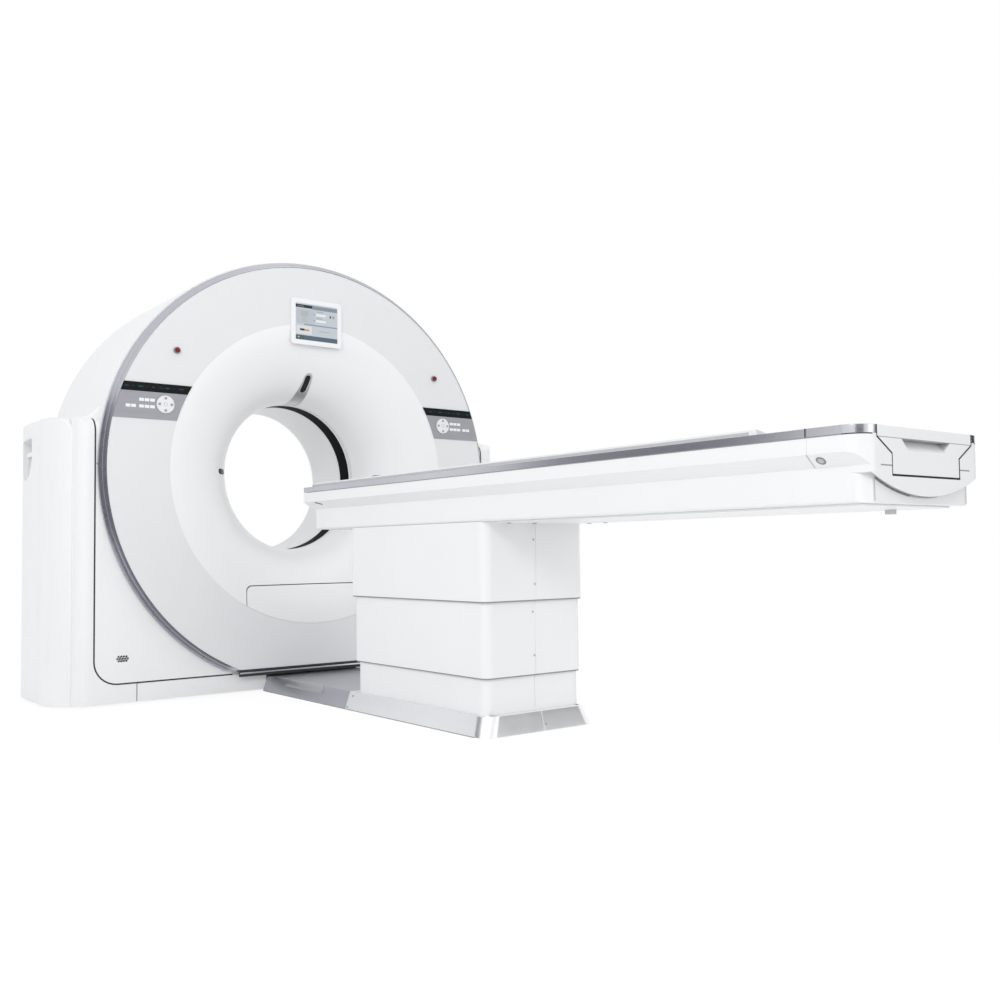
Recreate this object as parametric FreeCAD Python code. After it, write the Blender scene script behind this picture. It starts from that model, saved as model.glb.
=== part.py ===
import FreeCAD, Part
import math
import os

# CT scanner: ring gantry with its bore, and a patient table on a telescoping pedestal.
# Millimetres. X to the right when facing the gantry, Y into the bore, Z up.
# Origin on the floor, below the bore axis, in the plane of the gantry's front.

# ---- gantry: driving dimensions -------------------------------------------
BORE_RADIUS = 350.0
LIP_DEPTH = 282.0            # front plane to the throat lip
FUNNEL_WIDTH = 342.0         # from the bore to the circle where funnel and disc meet
MOUTH_RADIUS = BORE_RADIUS + FUNNEL_WIDTH
DISC_FACE = 3.0              # depth of the flat disc face
ANNULUS_WIDTH = 263.0
DISC_RADIUS = MOUTH_RADIUS + ANNULUS_WIDTH
DISC_CUT = 76.0              # how much is cut off the disc's foot
DISC_BOTTOM = 106.0          # height of that level edge above the floor
BORE_HEIGHT = DISC_BOTTOM + DISC_RADIUS - DISC_CUT  # bore axis above the floor
RING_WIDTH = 25.0
RING_RADIUS = DISC_RADIUS + RING_WIDTH
RING_BEVEL = 30.0            # depth of the trim ring's slanted face
RING_LAND = 15.0             # depth of the straight land behind it
SILL_HEIGHT = 9.0
COVER_PLANE = RING_BEVEL + RING_LAND  # depth of the corner covers' front
COVER_WALL = 6.0
SKIN_BACK = COVER_PLANE + COVER_WALL
PANEL_GAP = 4.0              # open seam between covers
FINE_GAP = 0.5               # closed seam between pieces that seat on each other
ARCH_MARGIN = 6.0            # from the trim ring to the outside of the arch
ARCH_RADIUS = RING_RADIUS + ARCH_MARGIN
ARCH_DEPTH = 595.0
ARCH_REAR = COVER_PLANE + ARCH_DEPTH
LEG_RISE = 198.0             # leg's top above the bore axis
LEG_TOP = BORE_HEIGHT + LEG_RISE
LEG_ROUND = 62.0
SHOULDER_ROUND = 115.0       # hollow between the arch and the leg's top
SHOULDER_FLAT = 10.4
SHOULDER_X = math.sqrt((ARCH_RADIUS + SHOULDER_ROUND) ** 2 - (LEG_RISE + SHOULDER_ROUND) ** 2)
LEG_HALF_WIDTH = SHOULDER_X + SHOULDER_FLAT
COVER_BOTTOM = 8.0
REAR_DEPTH = 130.0
REAR_PLANE = ARCH_REAR + REAR_DEPTH
REAR_BEVEL = 8.0             # narrower than the shoulder's flat
REAR_FLARE_WIDTH = 100.0
REAR_FLARE_LENGTH = 90.0
REAR_MOUTH_RADIUS = BORE_RADIUS + REAR_FLARE_WIDTH
REAR_FLARE_START = REAR_PLANE - REAR_FLARE_LENGTH
SEAM_X = ARCH_RADIUS         # corner cover's outer seam
SEAM_DROP = 18.0             # corner cover's lower edge below the disc's
SEAM_BOTTOM = DISC_BOTTOM - SEAM_DROP
SEAM_RISE = 5.0
SEAM_TOP = BORE_HEIGHT + SEAM_RISE
SEAM_ROUND = 95.0
GROOVE_DEPTH = 4.0           # seam groove in the leg above the corner cover
LEDGE_WIDTH = 20.0
LEDGE_THICKNESS = 4.0
KICK_INSET = 173.0
KICK_SEAM_X = SEAM_X - KICK_INSET
BULGE = 79.0                 # how far the side cover stands out from the leg
SIDE_BULGE = LEG_HALF_WIDTH + BULGE
SIDE_SEAM_SET = 43.0         # side cover's front edge behind the corner covers' front
SIDE_SEAM_DEPTH = COVER_PLANE + SIDE_SEAM_SET
SIDE_LIP = 4.0               # flat land at the side cover's front edge
SIDE_NOSE_X = 44.0           # middle of the side cover's front curve
SIDE_NOSE_Y = 35.0
SIDE_TURN = 200.0            # where the front curve runs into the long side curve
SIDE_CREST = 220.0           # from there to the fullest point
SIDE_SWELL = 4.0
SIDE_REAR_STEP = 12.0
SIDE_REAR_X = LEG_HALF_WIDTH + SIDE_REAR_STEP
SIDE_TOP_ROUND = 70.0
GRIP_SET = 14.0              # grip pocket's back outside the leg
GRIP_PLANE = LEG_HALF_WIDTH + GRIP_SET
GRIP_DROP = 63.0
GRIP_HEIGHT = 180.0
GRIP_TOP = LEG_TOP - GRIP_DROP
GRIP_BOTTOM = GRIP_TOP - GRIP_HEIGHT
GRIP_REAR_SET = 170.0
GRIP_WIDTH = 220.0
GRIP_REAR = REAR_PLANE - GRIP_REAR_SET
GRIP_FRONT = GRIP_REAR - GRIP_WIDTH
GRIP_CORNER = 14.0
GRIP_WALL = 3.0
GRIP_BAR_DROP = 60.0         # top of the pocket to the top of its rib and bar
GRIP_BAR_HEIGHT = 18.0
GRIP_RIB = 10.0
ACCESS_HALF_WIDTH = 342.0
ACCESS_HEIGHT = 364.0
ACCESS_TOP = DISC_BOTTOM + ACCESS_HEIGHT
ACCESS_ROUND = 26.0
THROAT_LENGTH = 33.0         # straight throat behind the lip
THROAT_END = LIP_DEPTH + THROAT_LENGTH
WINDOW_WIDTH = 90.0
WINDOW_END = THROAT_END + WINDOW_WIDTH
THROAT_WALL = 6.0
WINDOW_SET = 2.0             # scan window's face behind the bore's
FLARE_STEPS = 5              # cones that make up the front bell mouth
REAR_FLARE_STEPS = 3
LASER_TOP_REACH = 125.0      # outer end of the top slot from the bore
LASER_TOP_HALF = 28.0
LASER_SIDE_REACH = 87.0
LASER_SIDE_START = 18.0
LASER_SIDE_HALF = 14.0
LASER_RECESS = 8.0
PANEL_RISE = 352.0           # control panel's top above the bore axis
PANEL_HEIGHT = 152.0
PANEL_TOP = BORE_HEIGHT + PANEL_RISE
PANEL_BOTTOM = PANEL_TOP - PANEL_HEIGHT
STRIP_HEIGHT = 38.0
PANEL_THICKNESS = 3.0
PAD_RISE = 265.0
PAD_INSET = 74.8             # pad's centre from the mouth circle, at its height
PAD_X = math.sqrt(MOUTH_RADIUS**2 - PAD_RISE**2) + PAD_INSET
PAD_Z = BORE_HEIGHT + PAD_RISE
PAD_RADIUS = 38.0
PAD_PROUD = 5.0
PAD_TRAVEL = 1.5
ARROW_TIP = 31.0
ARROW_BASE = 23.0
ARROW_HALF = 6.0
ARROW_DEPTH = 1.0
KEY_WIDTH = 20.0
KEY_HEIGHT = 13.0
KEY_PROUD = 1.0
KEY_GAP = 3.0
KEY_INNER = 55.0             # first key from the pad's centre
KEY_OUTER = 134.0
KEY_ROW = 14.0
ESTOP_RISE = 502.0
ESTOP_INSET = 187.7          # emergency stop from the mouth circle, at its height
ESTOP_X = math.sqrt(MOUTH_RADIUS**2 - ESTOP_RISE**2) + ESTOP_INSET
ESTOP_Z = BORE_HEIGHT + ESTOP_RISE
ESTOP_RADIUS = 11.0
ESTOP_CROWN = 8.0
ESTOP_STEM = 5.0
ESTOP_COLLAR = 15.0
ESTOP_COLLAR_THICKNESS = 6.0
ESTOP_HEAD = 7.0
ESTOP_TRAVEL = 4.0
SCREEN_HALF_WIDTH = 130.0
SCREEN_HEIGHT = 213.0
SCREEN_OVERLAP = 98.0        # how far the screen hangs down over the bell mouth
SCREEN_BOTTOM = BORE_HEIGHT + MOUTH_RADIUS - SCREEN_OVERLAP
SCREEN_TOP = SCREEN_BOTTOM + SCREEN_HEIGHT
SCREEN_FRONT = -8.0
SCREEN_ROUND = 14.0
SCREEN_BORDER = 21.0
SCREEN_RECESS = 6.0
GLASS_SET = 1.5              # glass behind the bezel's front
SPEAKER_INSET = 114.0
SPEAKER_RISE = 100.0
SPEAKER_X = SEAM_X - SPEAKER_INSET
SPEAKER_Z = SEAM_BOTTOM + SPEAKER_RISE
SPEAKER_PITCH = 11.0
SPEAKER_HOLE = 4.2
SPEAKER_HALF = 35.0
SPEAKER_DEPTH = 15.0
MAGNET_RADIUS = 22.0
ROUND_SIDES = 24             # flat sides of the small round pieces

# ---- gantry inside ----------------------------------------------------------
FRAME_BOTTOM = 20.0
FRAME_TOP = 100.0
FRAME_SET = 85.0             # floor frame behind the corner covers' front
FRAME_REAR_SET = 50.0
FRAME_FRONT = COVER_PLANE + FRAME_SET
FRAME_REAR = REAR_PLANE - FRAME_REAR_SET
FRAME_RAIL = 110.0
CROSS_INNER = 220.0          # cross rails' inner faces from the middle plane
FOOT_RADIUS = 45.0
ROTOR_SET = 65.0             # rotor plate behind the scan window
ROTOR_PLATE_THICKNESS = 20.0
ROTOR_PLATE_FRONT = WINDOW_END + ROTOR_SET
ROTOR_PLATE_BACK = ROTOR_PLATE_FRONT + ROTOR_PLATE_THICKNESS
ROTOR_CLEARANCE = 86.0
ROTOR_RADIUS = ARCH_RADIUS - ROTOR_CLEARANCE
ROTOR_WEB = 120.0            # plate left inside and outside the lightening windows
LIGHTENING_HALF_ANGLE = 8.0
SEAT_GAP = 10.0
SEAT_DEPTH = 100.0
SEAT_WALL = 45.0
SEAT_FRONT = ROTOR_PLATE_BACK + SEAT_GAP
STATOR_FRONT = SEAT_FRONT + SEAT_DEPTH
STATOR_THICKNESS = 40.0
STATOR_MARGIN = 346.0
STATOR_RADIUS = ARCH_RADIUS - STATOR_MARGIN
STATOR_SHOULDER = 384.0
PILLAR_SPREAD = 560.0
PILLAR_FOOT = 230.0
HUB_MARGIN = 32.0
HUB_RADIUS = BORE_RADIUS + HUB_MARGIN
HUB_WALL = 20.0
HUB_SHORT = 40.0
HUB_END = STATOR_FRONT - HUB_SHORT
RUN_GAP = 0.3
BEAM_DEPTH = THROAT_END + WINDOW_WIDTH / 2  # plane of the fan beam
BEAM_HALF = ROTOR_PLATE_FRONT - BEAM_DEPTH  # rotor plate to the fan beam
SWING = 250.0                # from the bore to the detector and the power units
TUBE_SWING = 365.0
TUBE_HEIGHT = BORE_RADIUS + TUBE_SWING
TUBE_RADIUS = 118.0
TUBE_END_RADIUS = 70.0
TUBE_END_LENGTH = 33.0
COLLIMATOR_HEIGHT = 120.0
COLLIMATOR_TOP_HALF = 70.0
COLLIMATOR_LOW_HALF = 130.0
COLLIMATOR_FRONT = 70.0
COLLIMATOR_WALL = 25.0
FAN_SLOT = 20.0
DETECTOR_RADIUS = BORE_RADIUS + SWING
DETECTOR_THICKNESS = 90.0
DETECTOR_HALF_ANGLE = 30.0
POWER_MARGIN = 40.0
POWER_OUTER = ROTOR_RADIUS - POWER_MARGIN
POWER_HALF_ANGLE = 15.0

# ---- table: driving dimensions ----------------------------------------------
TABLE_HALF_WIDTH = 266.0
TABLE_HEAD = -384.0
TABLE_LENGTH = 2631.0
TABLE_FOOT = TABLE_HEAD - TABLE_LENGTH
RAIL_DROP = 97.0             # rail's top below the bore axis
RAIL_TOP = BORE_HEIGHT - RAIL_DROP
RAIL_HEIGHT = 21.0
RAIL_BOTTOM = RAIL_TOP - RAIL_HEIGHT
RAIL_FLANGE = 27.0
RAIL_WALL = 4.0
SHELL_FACE = 40.0            # upright face of the side shell under the rail
SHELL_WALL = 4.0
GROOVE_HEIGHT = 30.0         # slanted face under it, down to the tray
GROOVE_TOP = RAIL_BOTTOM - SHELL_FACE
GROOVE_BOTTOM = GROOVE_TOP - GROOVE_HEIGHT
TRAY_INSET = 36.0
TRAY_HALF_WIDTH = TABLE_HALF_WIDTH - TRAY_INSET
TRAY_HEIGHT = 85.0
TRAY_BOTTOM = GROOVE_BOTTOM - TRAY_HEIGHT
TRAY_HEAD_SET = 43.0
TRAY_FOOT_SET = 14.0
TRAY_HEAD = TABLE_HEAD - TRAY_HEAD_SET
TRAY_FOOT = TABLE_FOOT + TRAY_FOOT_SET
TRAY_ROUND = 40.0
TRAY_EDGE_ROUND = 10.0
CAP_LENGTH = 146.0
CAP_JOINT = TABLE_FOOT + CAP_LENGTH
RAIL_OVERRUN = 3.0           # rail joint ahead of the foot cap's joint
RAIL_JOINT = CAP_JOINT + RAIL_OVERRUN
CORNER_ROUND = 52.0
SMILE_RISE = 17.0            # foot cap's lip above the tray's bottom, in the middle
SMILE_END = 8.0              # and above the groove's lower edge at the sides
SMILE_BOTTOM = TRAY_BOTTOM + SMILE_RISE
SMILE_SIDE = GROOVE_BOTTOM + SMILE_END
HEAD_ROUND = 34.0
CRADLE_EDGE = 16.0           # rail left bare beside the cradle
CRADLE_HALF_WIDTH = TABLE_HALF_WIDTH - CRADLE_EDGE
CRADLE_HEIGHT = 15.0
CRADLE_TOP = RAIL_TOP + CRADLE_HEIGHT
CRADLE_OVERHANG = 4.0
CRADLE_HEAD = TABLE_HEAD + CRADLE_OVERHANG
HANDLE_LENGTH = 303.0        # handle block, from the foot end to the cradle
CRADLE_FOOT = TABLE_FOOT + HANDLE_LENGTH
CRADLE_NOSE_ROUND = 90.0
CRADLE_FOOT_ROUND = 4.0
CRADLE_RIM = 8.0
CRADLE_DISH = 26.0
CRADLE_WING = 17.0           # width of the flat wing that lies on the rail
CRADLE_KEEL_HALF_WIDTH = CRADLE_HALF_WIDTH - CRADLE_WING
CRADLE_KEEL_DEPTH = 36.0
KEEL_CLEARANCE = 3.0
CRADLE_GAP = 0.4
HANDLE_MARGIN = 60.0
HANDLE_SHOULDER = 60.0
HANDLE_BAND = 27.0
HANDLE_TAPER = 36.0
HANDLE_NECK = 48.0
HANDLE_TOP_HALF_WIDTH = TABLE_HALF_WIDTH - HANDLE_MARGIN
HANDLE_NECK_HALF_WIDTH = HANDLE_TOP_HALF_WIDTH - HANDLE_SHOULDER
HANDLE_BAND_BOTTOM = RAIL_TOP - HANDLE_BAND
HANDLE_NECK_TOP = HANDLE_BAND_BOTTOM - HANDLE_TAPER
HANDLE_BOTTOM = HANDLE_NECK_TOP - HANDLE_NECK
RAIL_CORNER_END = HANDLE_TOP_HALF_WIDTH + PANEL_GAP
SCOOP_MARGIN = 39.0
SCOOP_TAPER = 30.0
SCOOP_HEIGHT = 29.0
SCOOP_DEPTH = 28.0
SCOOP_TOP_HALF = HANDLE_NECK_HALF_WIDTH - SCOOP_MARGIN
SCOOP_BOTTOM_HALF = SCOOP_TOP_HALF - SCOOP_TAPER
SCOOP_BOTTOM = HANDLE_BAND_BOTTOM - SCOOP_HEIGHT
BEAM_MARGIN = 15.0
BEAM_OUTER_X = TRAY_HALF_WIDTH - BEAM_MARGIN
BEAM_WIDTH = 62.0
BEAM_WALL = 5.0
BEAM_HEIGHT = 58.0
BEAM_TOP = TRAY_BOTTOM + BEAM_HEIGHT
BEAM_END_SET = 60.0
CROSS_COUNT = 6
CROSS_LENGTH = 120.0
CROSS_DROP = 10.0
CROSS_TOP = BEAM_TOP - CROSS_DROP
UNDERSIDE_MARGIN = 34.0
UNDERSIDE_THICKNESS = 5.0
UNDERSIDE_HALF_WIDTH = TRAY_HALF_WIDTH - UNDERSIDE_MARGIN

# ---- pedestal ----------------------------------------------------------------
PEDESTAL_HALF_WIDTH = 225.0  # outer size of the upper covers
PEDESTAL_HEAD = -690.0
PEDESTAL_LENGTH = 882.0
PEDESTAL_FOOT = PEDESTAL_HEAD - PEDESTAL_LENGTH
PEDESTAL_ROUND = 34.0
STAGE_STEP = 7.0             # each lower stage is this much smaller at the sides
STAGE_STEP_FOOT = 7.5
STAGE_STEP_HEAD = 15.0
STAGE_WALL = 3.0
UPPER_BOTTOM = 445.0
MIDDLE_BOTTOM = 191.0
MIDDLE_OVERLAP = 21.0        # how far the middle covers reach up into the upper ones
LOWER_OVERLAP = 25.0
MIDDLE_TOP = UPPER_BOTTOM + MIDDLE_OVERLAP
LOWER_TOP = MIDDLE_BOTTOM + LOWER_OVERLAP
HALF_SEAM = 0.8
BASE_TOP = 60.0
BASE_WALL = 20.0
BASE_FLOOR = 12.0
BASE_MARGIN = 3.0            # floor tray outside the lower covers
BASE_FOOT = PEDESTAL_FOOT + 2 * STAGE_STEP_FOOT - BASE_MARGIN
BASE_HALF_WIDTH = PEDESTAL_HALF_WIDTH - 2 * STAGE_STEP + BASE_MARGIN
BASE_ROUND = PEDESTAL_ROUND + BASE_MARGIN
SKIRT_TOP = 68.0
SKIRT_REACH = 12.0           # skirt's top edge outside the floor tray
SKIRT_SLANT = 24.0           # from there out to the floor
SKIRT_FOOT_REACH = 19.0
SKIRT_FOOT_SLANT = 18.0
SKIRT_TOP_HALF_WIDTH = BASE_HALF_WIDTH + SKIRT_REACH
SKIRT_FLOOR_HALF_WIDTH = SKIRT_TOP_HALF_WIDTH + SKIRT_SLANT
SKIRT_TOP_FOOT = BASE_FOOT - SKIRT_FOOT_REACH
SKIRT_FLOOR_FOOT = SKIRT_TOP_FOOT - SKIRT_FOOT_SLANT
SKIRT_ROUND = 57.0
SKIRT_JOINT = PEDESTAL_HEAD
SKIRT_END_SEAM_X = 8.0
KICK_CLEARANCE = 12.0
KICK_INNER_X = SKIRT_FLOOR_HALF_WIDTH + KICK_CLEARANCE
COLUMN_Y = (PEDESTAL_FOOT + PEDESTAL_HEAD) / 2  # lift column axis
COLUMN_OUTER_HALF = 110.0
COLUMN_WALL = 8.0
COLUMN_GAP = 0.3
OUTER_COLUMN_TOP = 330.0
INNER_COLUMN_BOTTOM = 396.0
EDGE = 10.0                  # how far cutting tools run past what they cut


# ---- outlines and basic solids -------------------------------------------------
def vec(x, y, z):
    return FreeCAD.Vector(x, y, z)


def across(y):
    """Places outline points in the upright plane at depth y."""
    return lambda a, b: vec(a, y, b)


def level(z):
    """Places outline points in the level plane at height z."""
    return lambda a, b: vec(a, b, z)


def along(x):
    """Places (y, z) outline points in the side plane at x."""
    return lambda a, b: vec(x, a, b)


def radial(r, y):
    """A point of the bore's radial section, r from the axis and y deep."""
    return vec(r, y, BORE_HEIGHT)


def wire(points, place):
    """Closed wire through outline points; a pair of points is an arc's middle and end."""
    start = place(*points[0])
    edges = []
    for item in points[1:] + [points[0]]:
        if isinstance(item[0], tuple):
            end = place(*item[1])
            edges.append(Part.Arc(start, place(*item[0]), end).toShape())
        else:
            end = place(*item)
            if not end.isEqual(start, 1e-6):
                edges.append(Part.LineSegment(start, end).toShape())
        start = end
    return Part.Wire(edges)


def prism(points, place, push):
    return Part.Face(wire(points, place)).extrude(push)


def box(x0, x1, y0, y1, z0, z1):
    return Part.makeBox(x1 - x0, y1 - y0, z1 - z0, vec(x0, y0, z0))


def rod(radius, x, z, y0, y1):
    """Cylinder along Y."""
    return Part.makeCylinder(radius, y1 - y0, vec(x, y0, z), vec(0, 1, 0))


def disc(radius, y0, y1):
    """Cylinder along Y round the bore axis."""
    return rod(radius, 0, BORE_HEIGHT, y0, y1)


def tube(inner, outer, y0, y1):
    return disc(outer, y0, y1).cut(disc(inner, y0 - EDGE, y1 + EDGE))


def turned(points):
    """Solid of revolution of a radial outline about the bore axis."""
    face = Part.Face(wire(points, radial))
    return face.revolve(vec(0, 0, BORE_HEIGHT), vec(0, 1, 0), 360)


def rounded(a0, a1, b0, b1, radii):
    """Rectangle outline with rounded corners; radii run anticlockwise from the low corner."""
    k = 1 - math.sqrt(0.5)
    corners = ((a0, b0, 1, 1), (a1, b0, -1, 1), (a1, b1, -1, -1), (a0, b1, 1, -1))
    points = []
    for index, ((a, b, sa, sb), r) in enumerate(zip(corners, radii)):
        if r <= 0:
            points.append((a, b))
            continue
        ends = [(a, b + sb * r), (a + sa * r, b)]
        if index % 2:
            ends.reverse()
        points.append(ends[0])
        points.append(((a + sa * k * r, b + sb * k * r), ends[1]))
    return points


def mirrored(shape):
    """The same solid on the other side of the machine's middle plane."""
    return shape.mirror(vec(0, 0, 0), vec(1, 0, 0))


def both(shape):
    return [shape, mirrored(shape)]


def fuse(shapes):
    first, rest = shapes[0], shapes[1:]
    return first.multiFuse(rest).removeSplitter() if rest else first


def polar(radius, degrees):
    """Point (x, z) of a circle round the bore axis."""
    turn = math.radians(degrees)
    return radius * math.cos(turn), BORE_HEIGHT + radius * math.sin(turn)


def sector(inner, outer, middle_angle, half_angle, y0, y1):
    """Block between two radii and two angles round the bore axis."""
    a, b = middle_angle - half_angle, middle_angle + half_angle
    points = [
        polar(inner, a),
        polar(outer, a),
        (polar(outer, middle_angle), polar(outer, b)),
        polar(inner, b),
        (polar(inner, middle_angle), polar(inner, a)),
    ]
    return prism(points, across(y0), vec(0, y1 - y0, 0))


# ---- bell mouths ----------------------------------------------------------------
def oval(centre, reach, depth, steps):
    """Points of a quarter oval from its radial end to its axial end, depth inside it."""
    points = []
    for index in range(steps + 1):
        turn = math.pi / 2 * index / steps
        r = centre[0] + math.copysign(abs(reach[0]) - depth, reach[0]) * math.cos(turn)
        y = centre[1] + math.copysign(abs(reach[1]) - depth, reach[1]) * math.sin(turn)
        points.append((r, y))
    return points


def bell(centre, reach, wall, throat, steps, depth=0.0):
    """Bell mouth with a straight throat that ends at the depth throat; its back is straight."""
    face = oval(centre, reach, depth, steps)
    back = oval(centre, reach, depth + wall, 1)
    return turned([(back[0][0], throat), (face[0][0], throat)] + face + back[::-1])


def front_bell(wall, depth=0.0):
    """Bell mouth of the bore, whose surface lies depth behind the funnel's own."""
    rim = MOUTH_RADIUS - FINE_GAP
    reach = (BORE_RADIUS - rim, DISC_FACE - LIP_DEPTH)
    return bell((rim, LIP_DEPTH), reach, wall, THROAT_END, FLARE_STEPS, depth)


def access_opening(clearance):
    """Upright prism of the access cover under the bore, grown by the clearance."""
    outline = rounded(
        -ACCESS_HALF_WIDTH - clearance,
        ACCESS_HALF_WIDTH + clearance,
        DISC_BOTTOM,
        ACCESS_TOP + clearance,
        (0, 0, ACCESS_ROUND, ACCESS_ROUND),
    )
    return prism(outline, across(-EDGE), vec(0, LIP_DEPTH, 0))


def laser_slots(clearance):
    """Cutters for the laser line slots at twelve, nine and three o'clock."""
    top_half, side_half = LASER_TOP_HALF - clearance, LASER_SIDE_HALF - clearance
    top = box(
        -top_half,
        top_half,
        0,
        LIP_DEPTH - clearance - EDGE,
        BORE_HEIGHT + BORE_RADIUS - EDGE,
        BORE_HEIGHT + BORE_RADIUS + LASER_TOP_REACH - clearance,
    )
    side = box(
        BORE_RADIUS + LASER_SIDE_START + clearance,
        BORE_RADIUS + LASER_SIDE_REACH - clearance,
        0,
        LIP_DEPTH,
        BORE_HEIGHT - side_half,
        BORE_HEIGHT + side_half,
    )
    return [top] + both(side)


def funnel_cover():
    """Bell mouth of the bore with its laser slots and the opening for the access cover."""
    shell = front_bell(COVER_WALL).cut(access_opening(PANEL_GAP))
    return solid_of(shell.cut(Part.makeCompound(laser_slots(0))))


def access_cover():
    panel = front_bell(COVER_WALL).common(access_opening(0))
    return solid_of(panel)


def laser_windows():
    """Dark inserts set back in their slots, on the funnel's own curve."""
    insert = front_bell(COVER_WALL, LASER_RECESS)
    return [solid_of(insert.common(slot)) for slot in laser_slots(FINE_GAP)]


def scan_window():
    """Thin band that the fan beam passes through, between the throat and the tunnel."""
    inner = BORE_RADIUS + WINDOW_SET
    return tube(inner, BORE_RADIUS + THROAT_WALL, THROAT_END + FINE_GAP, WINDOW_END)


# ---- disc, ring and corner covers --------------------------------------------------
def faceted(radius, x, z, y0, y1):
    """Small round piece along Y as a bar with flat sides."""
    turns = [2 * math.pi * i / ROUND_SIDES for i in range(ROUND_SIDES)]
    points = [(x + radius * math.cos(t), z + radius * math.sin(t)) for t in turns]
    return prism(points, across(y0), vec(0, y1 - y0, 0))


def disc_cover():
    """Flat ring-shaped front cover, cut off level at its foot."""
    inner, outer = MOUTH_RADIUS + FINE_GAP, DISC_RADIUS - FINE_GAP
    return tube(inner, outer, DISC_FACE, DISC_FACE + COVER_WALL).cut(below(DISC_BOTTOM))


def below(z):
    """Everything at the front of the gantry under height z."""
    return box(-RING_RADIUS - EDGE, RING_RADIUS + EDGE, -EDGE, COVER_PLANE + EDGE, -EDGE, z)


def trim_ring():
    """Bevelled ring round the disc, open at its foot, and the sill under the disc."""
    profile = [
        (DISC_RADIUS, 0),
        (RING_RADIUS, RING_BEVEL),
        (RING_RADIUS, COVER_PLANE),
        (DISC_RADIUS, COVER_PLANE),
    ]
    ring = turned(profile).cut(below(DISC_BOTTOM))
    half = math.sqrt(DISC_RADIUS**2 - (BORE_HEIGHT - DISC_BOTTOM) ** 2)
    sill = prism(
        rounded(-half, half, DISC_BOTTOM - SILL_HEIGHT, DISC_BOTTOM - FINE_GAP, (0, 0, 0, 0)),
        across(0),
        vec(0, COVER_PLANE, 0),
    )
    return [ring, sill]


def arch_outline(inset):
    """Outline of the gantry's body: the arch, its shoulders and two legs."""
    radius = ARCH_RADIUS - inset
    leg, top, hollow = LEG_HALF_WIDTH - inset, LEG_TOP - inset, SHOULDER_ROUND + inset
    rise = top + hollow - BORE_HEIGHT
    reach = math.sqrt((radius + hollow) ** 2 - rise**2)
    touch = (reach * radius / (radius + hollow), BORE_HEIGHT + rise * radius / (radius + hollow))
    low_angle = math.atan2(touch[1] - top - hollow, touch[0] - reach)
    low_angle = (low_angle + 2 * math.pi) % (2 * math.pi)
    middle_angle = (low_angle + 1.5 * math.pi) / 2
    middle = (
        reach + hollow * math.cos(middle_angle),
        top + hollow + hollow * math.sin(middle_angle),
    )
    bottom = COVER_BOTTOM if inset == 0 else COVER_BOTTOM - EDGE
    return [
        (-leg, bottom),
        (leg, bottom),
        (leg, top),
        (reach, top),
        (middle, touch),
        ((0, BORE_HEIGHT + radius), (-touch[0], touch[1])),
        ((-middle[0], middle[1]), (-reach, top)),
        (-leg, top),
    ]


def edge_remover(inset):
    """What the legs' rounded front and top-front edges take off, on the right side."""
    leg, top, front = LEG_HALF_WIDTH - inset, LEG_TOP - inset, COVER_PLANE + inset
    size = LEG_ROUND - inset
    side = box(leg - size, leg + EDGE, front - EDGE, front + size, -EDGE, top + EDGE)
    side = side.cut(
        Part.makeCylinder(size, top + 3 * EDGE, vec(leg - size, front + size, -2 * EDGE))
    )
    start = ARCH_RADIUS - LEG_ROUND * 2
    over = box(start, leg + EDGE, front - EDGE, front + size, top - size, top + SHOULDER_ROUND)
    over = over.cut(
        Part.makeCylinder(
            size, leg - start + 3 * EDGE, vec(start - EDGE, front + size, top - size), vec(1, 0, 0)
        )
    )
    over = over.cut(disc(ARCH_RADIUS - inset, front - 2 * EDGE, front + LEG_ROUND * 2))
    return fuse([side, over])


def gantry_form(inset, rear):
    """Solid body of the gantry behind the corner covers' plane, set in by inset."""
    front = COVER_PLANE + inset
    form = prism(arch_outline(inset), across(front), vec(0, rear - front, 0))
    return form.cut(Part.makeCompound(both(edge_remover(inset))))


def seam_region(grow, y1):
    """The area inside the corner covers' outer seam, grown by grow."""
    outline = rounded(
        -SEAM_X - grow,
        SEAM_X + grow,
        SEAM_BOTTOM - grow,
        SEAM_TOP + grow,
        (SEAM_ROUND + grow, SEAM_ROUND + grow, 0, 0),
    )
    return prism(outline, across(COVER_PLANE - EDGE), vec(0, y1 - COVER_PLANE + EDGE, 0))


def ring_seat():
    """Radius to which the covers run in under the trim ring."""
    return DISC_RADIUS + (RING_RADIUS - DISC_RADIUS) / 3


def arch_skin():
    return gantry_form(0, ARCH_REAR).cut(gantry_form(COVER_WALL, ARCH_REAR + EDGE))


def arch_shroud():
    """Arch with its two legs, one shell; a ledge behind the seam carries the corner covers."""
    skin = arch_skin()
    skin = skin.cut(seam_region(PANEL_GAP, SKIN_BACK + FINE_GAP))
    skin = skin.cut(disc(ring_seat(), COVER_PLANE - EDGE, SKIN_BACK + EDGE))
    kick = box(
        -KICK_SEAM_X, KICK_SEAM_X, COVER_PLANE - EDGE, SKIN_BACK + EDGE, -EDGE, SEAM_BOTTOM
    )
    skin = skin.cut(kick).cut(Part.makeCompound(both(seam_groove())))
    return solid_of(fuse([skin, cover_ledge()]))


def cover_ledge():
    """Ledge behind the seam round the corner covers, left out where the disc lies."""
    rear = SKIN_BACK + LEDGE_THICKNESS
    ledge = seam_region(EDGE, rear).cut(seam_region(-LEDGE_WIDTH, rear + EDGE))
    ledge = ledge.common(box(-SEAM_X - EDGE, SEAM_X + EDGE, SKIN_BACK, rear, 0, LEG_TOP))
    reach = ring_seat()
    return ledge.cut(box(-reach, reach, -EDGE, rear + EDGE, BORE_HEIGHT - LEDGE_WIDTH, LEG_TOP))


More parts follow.
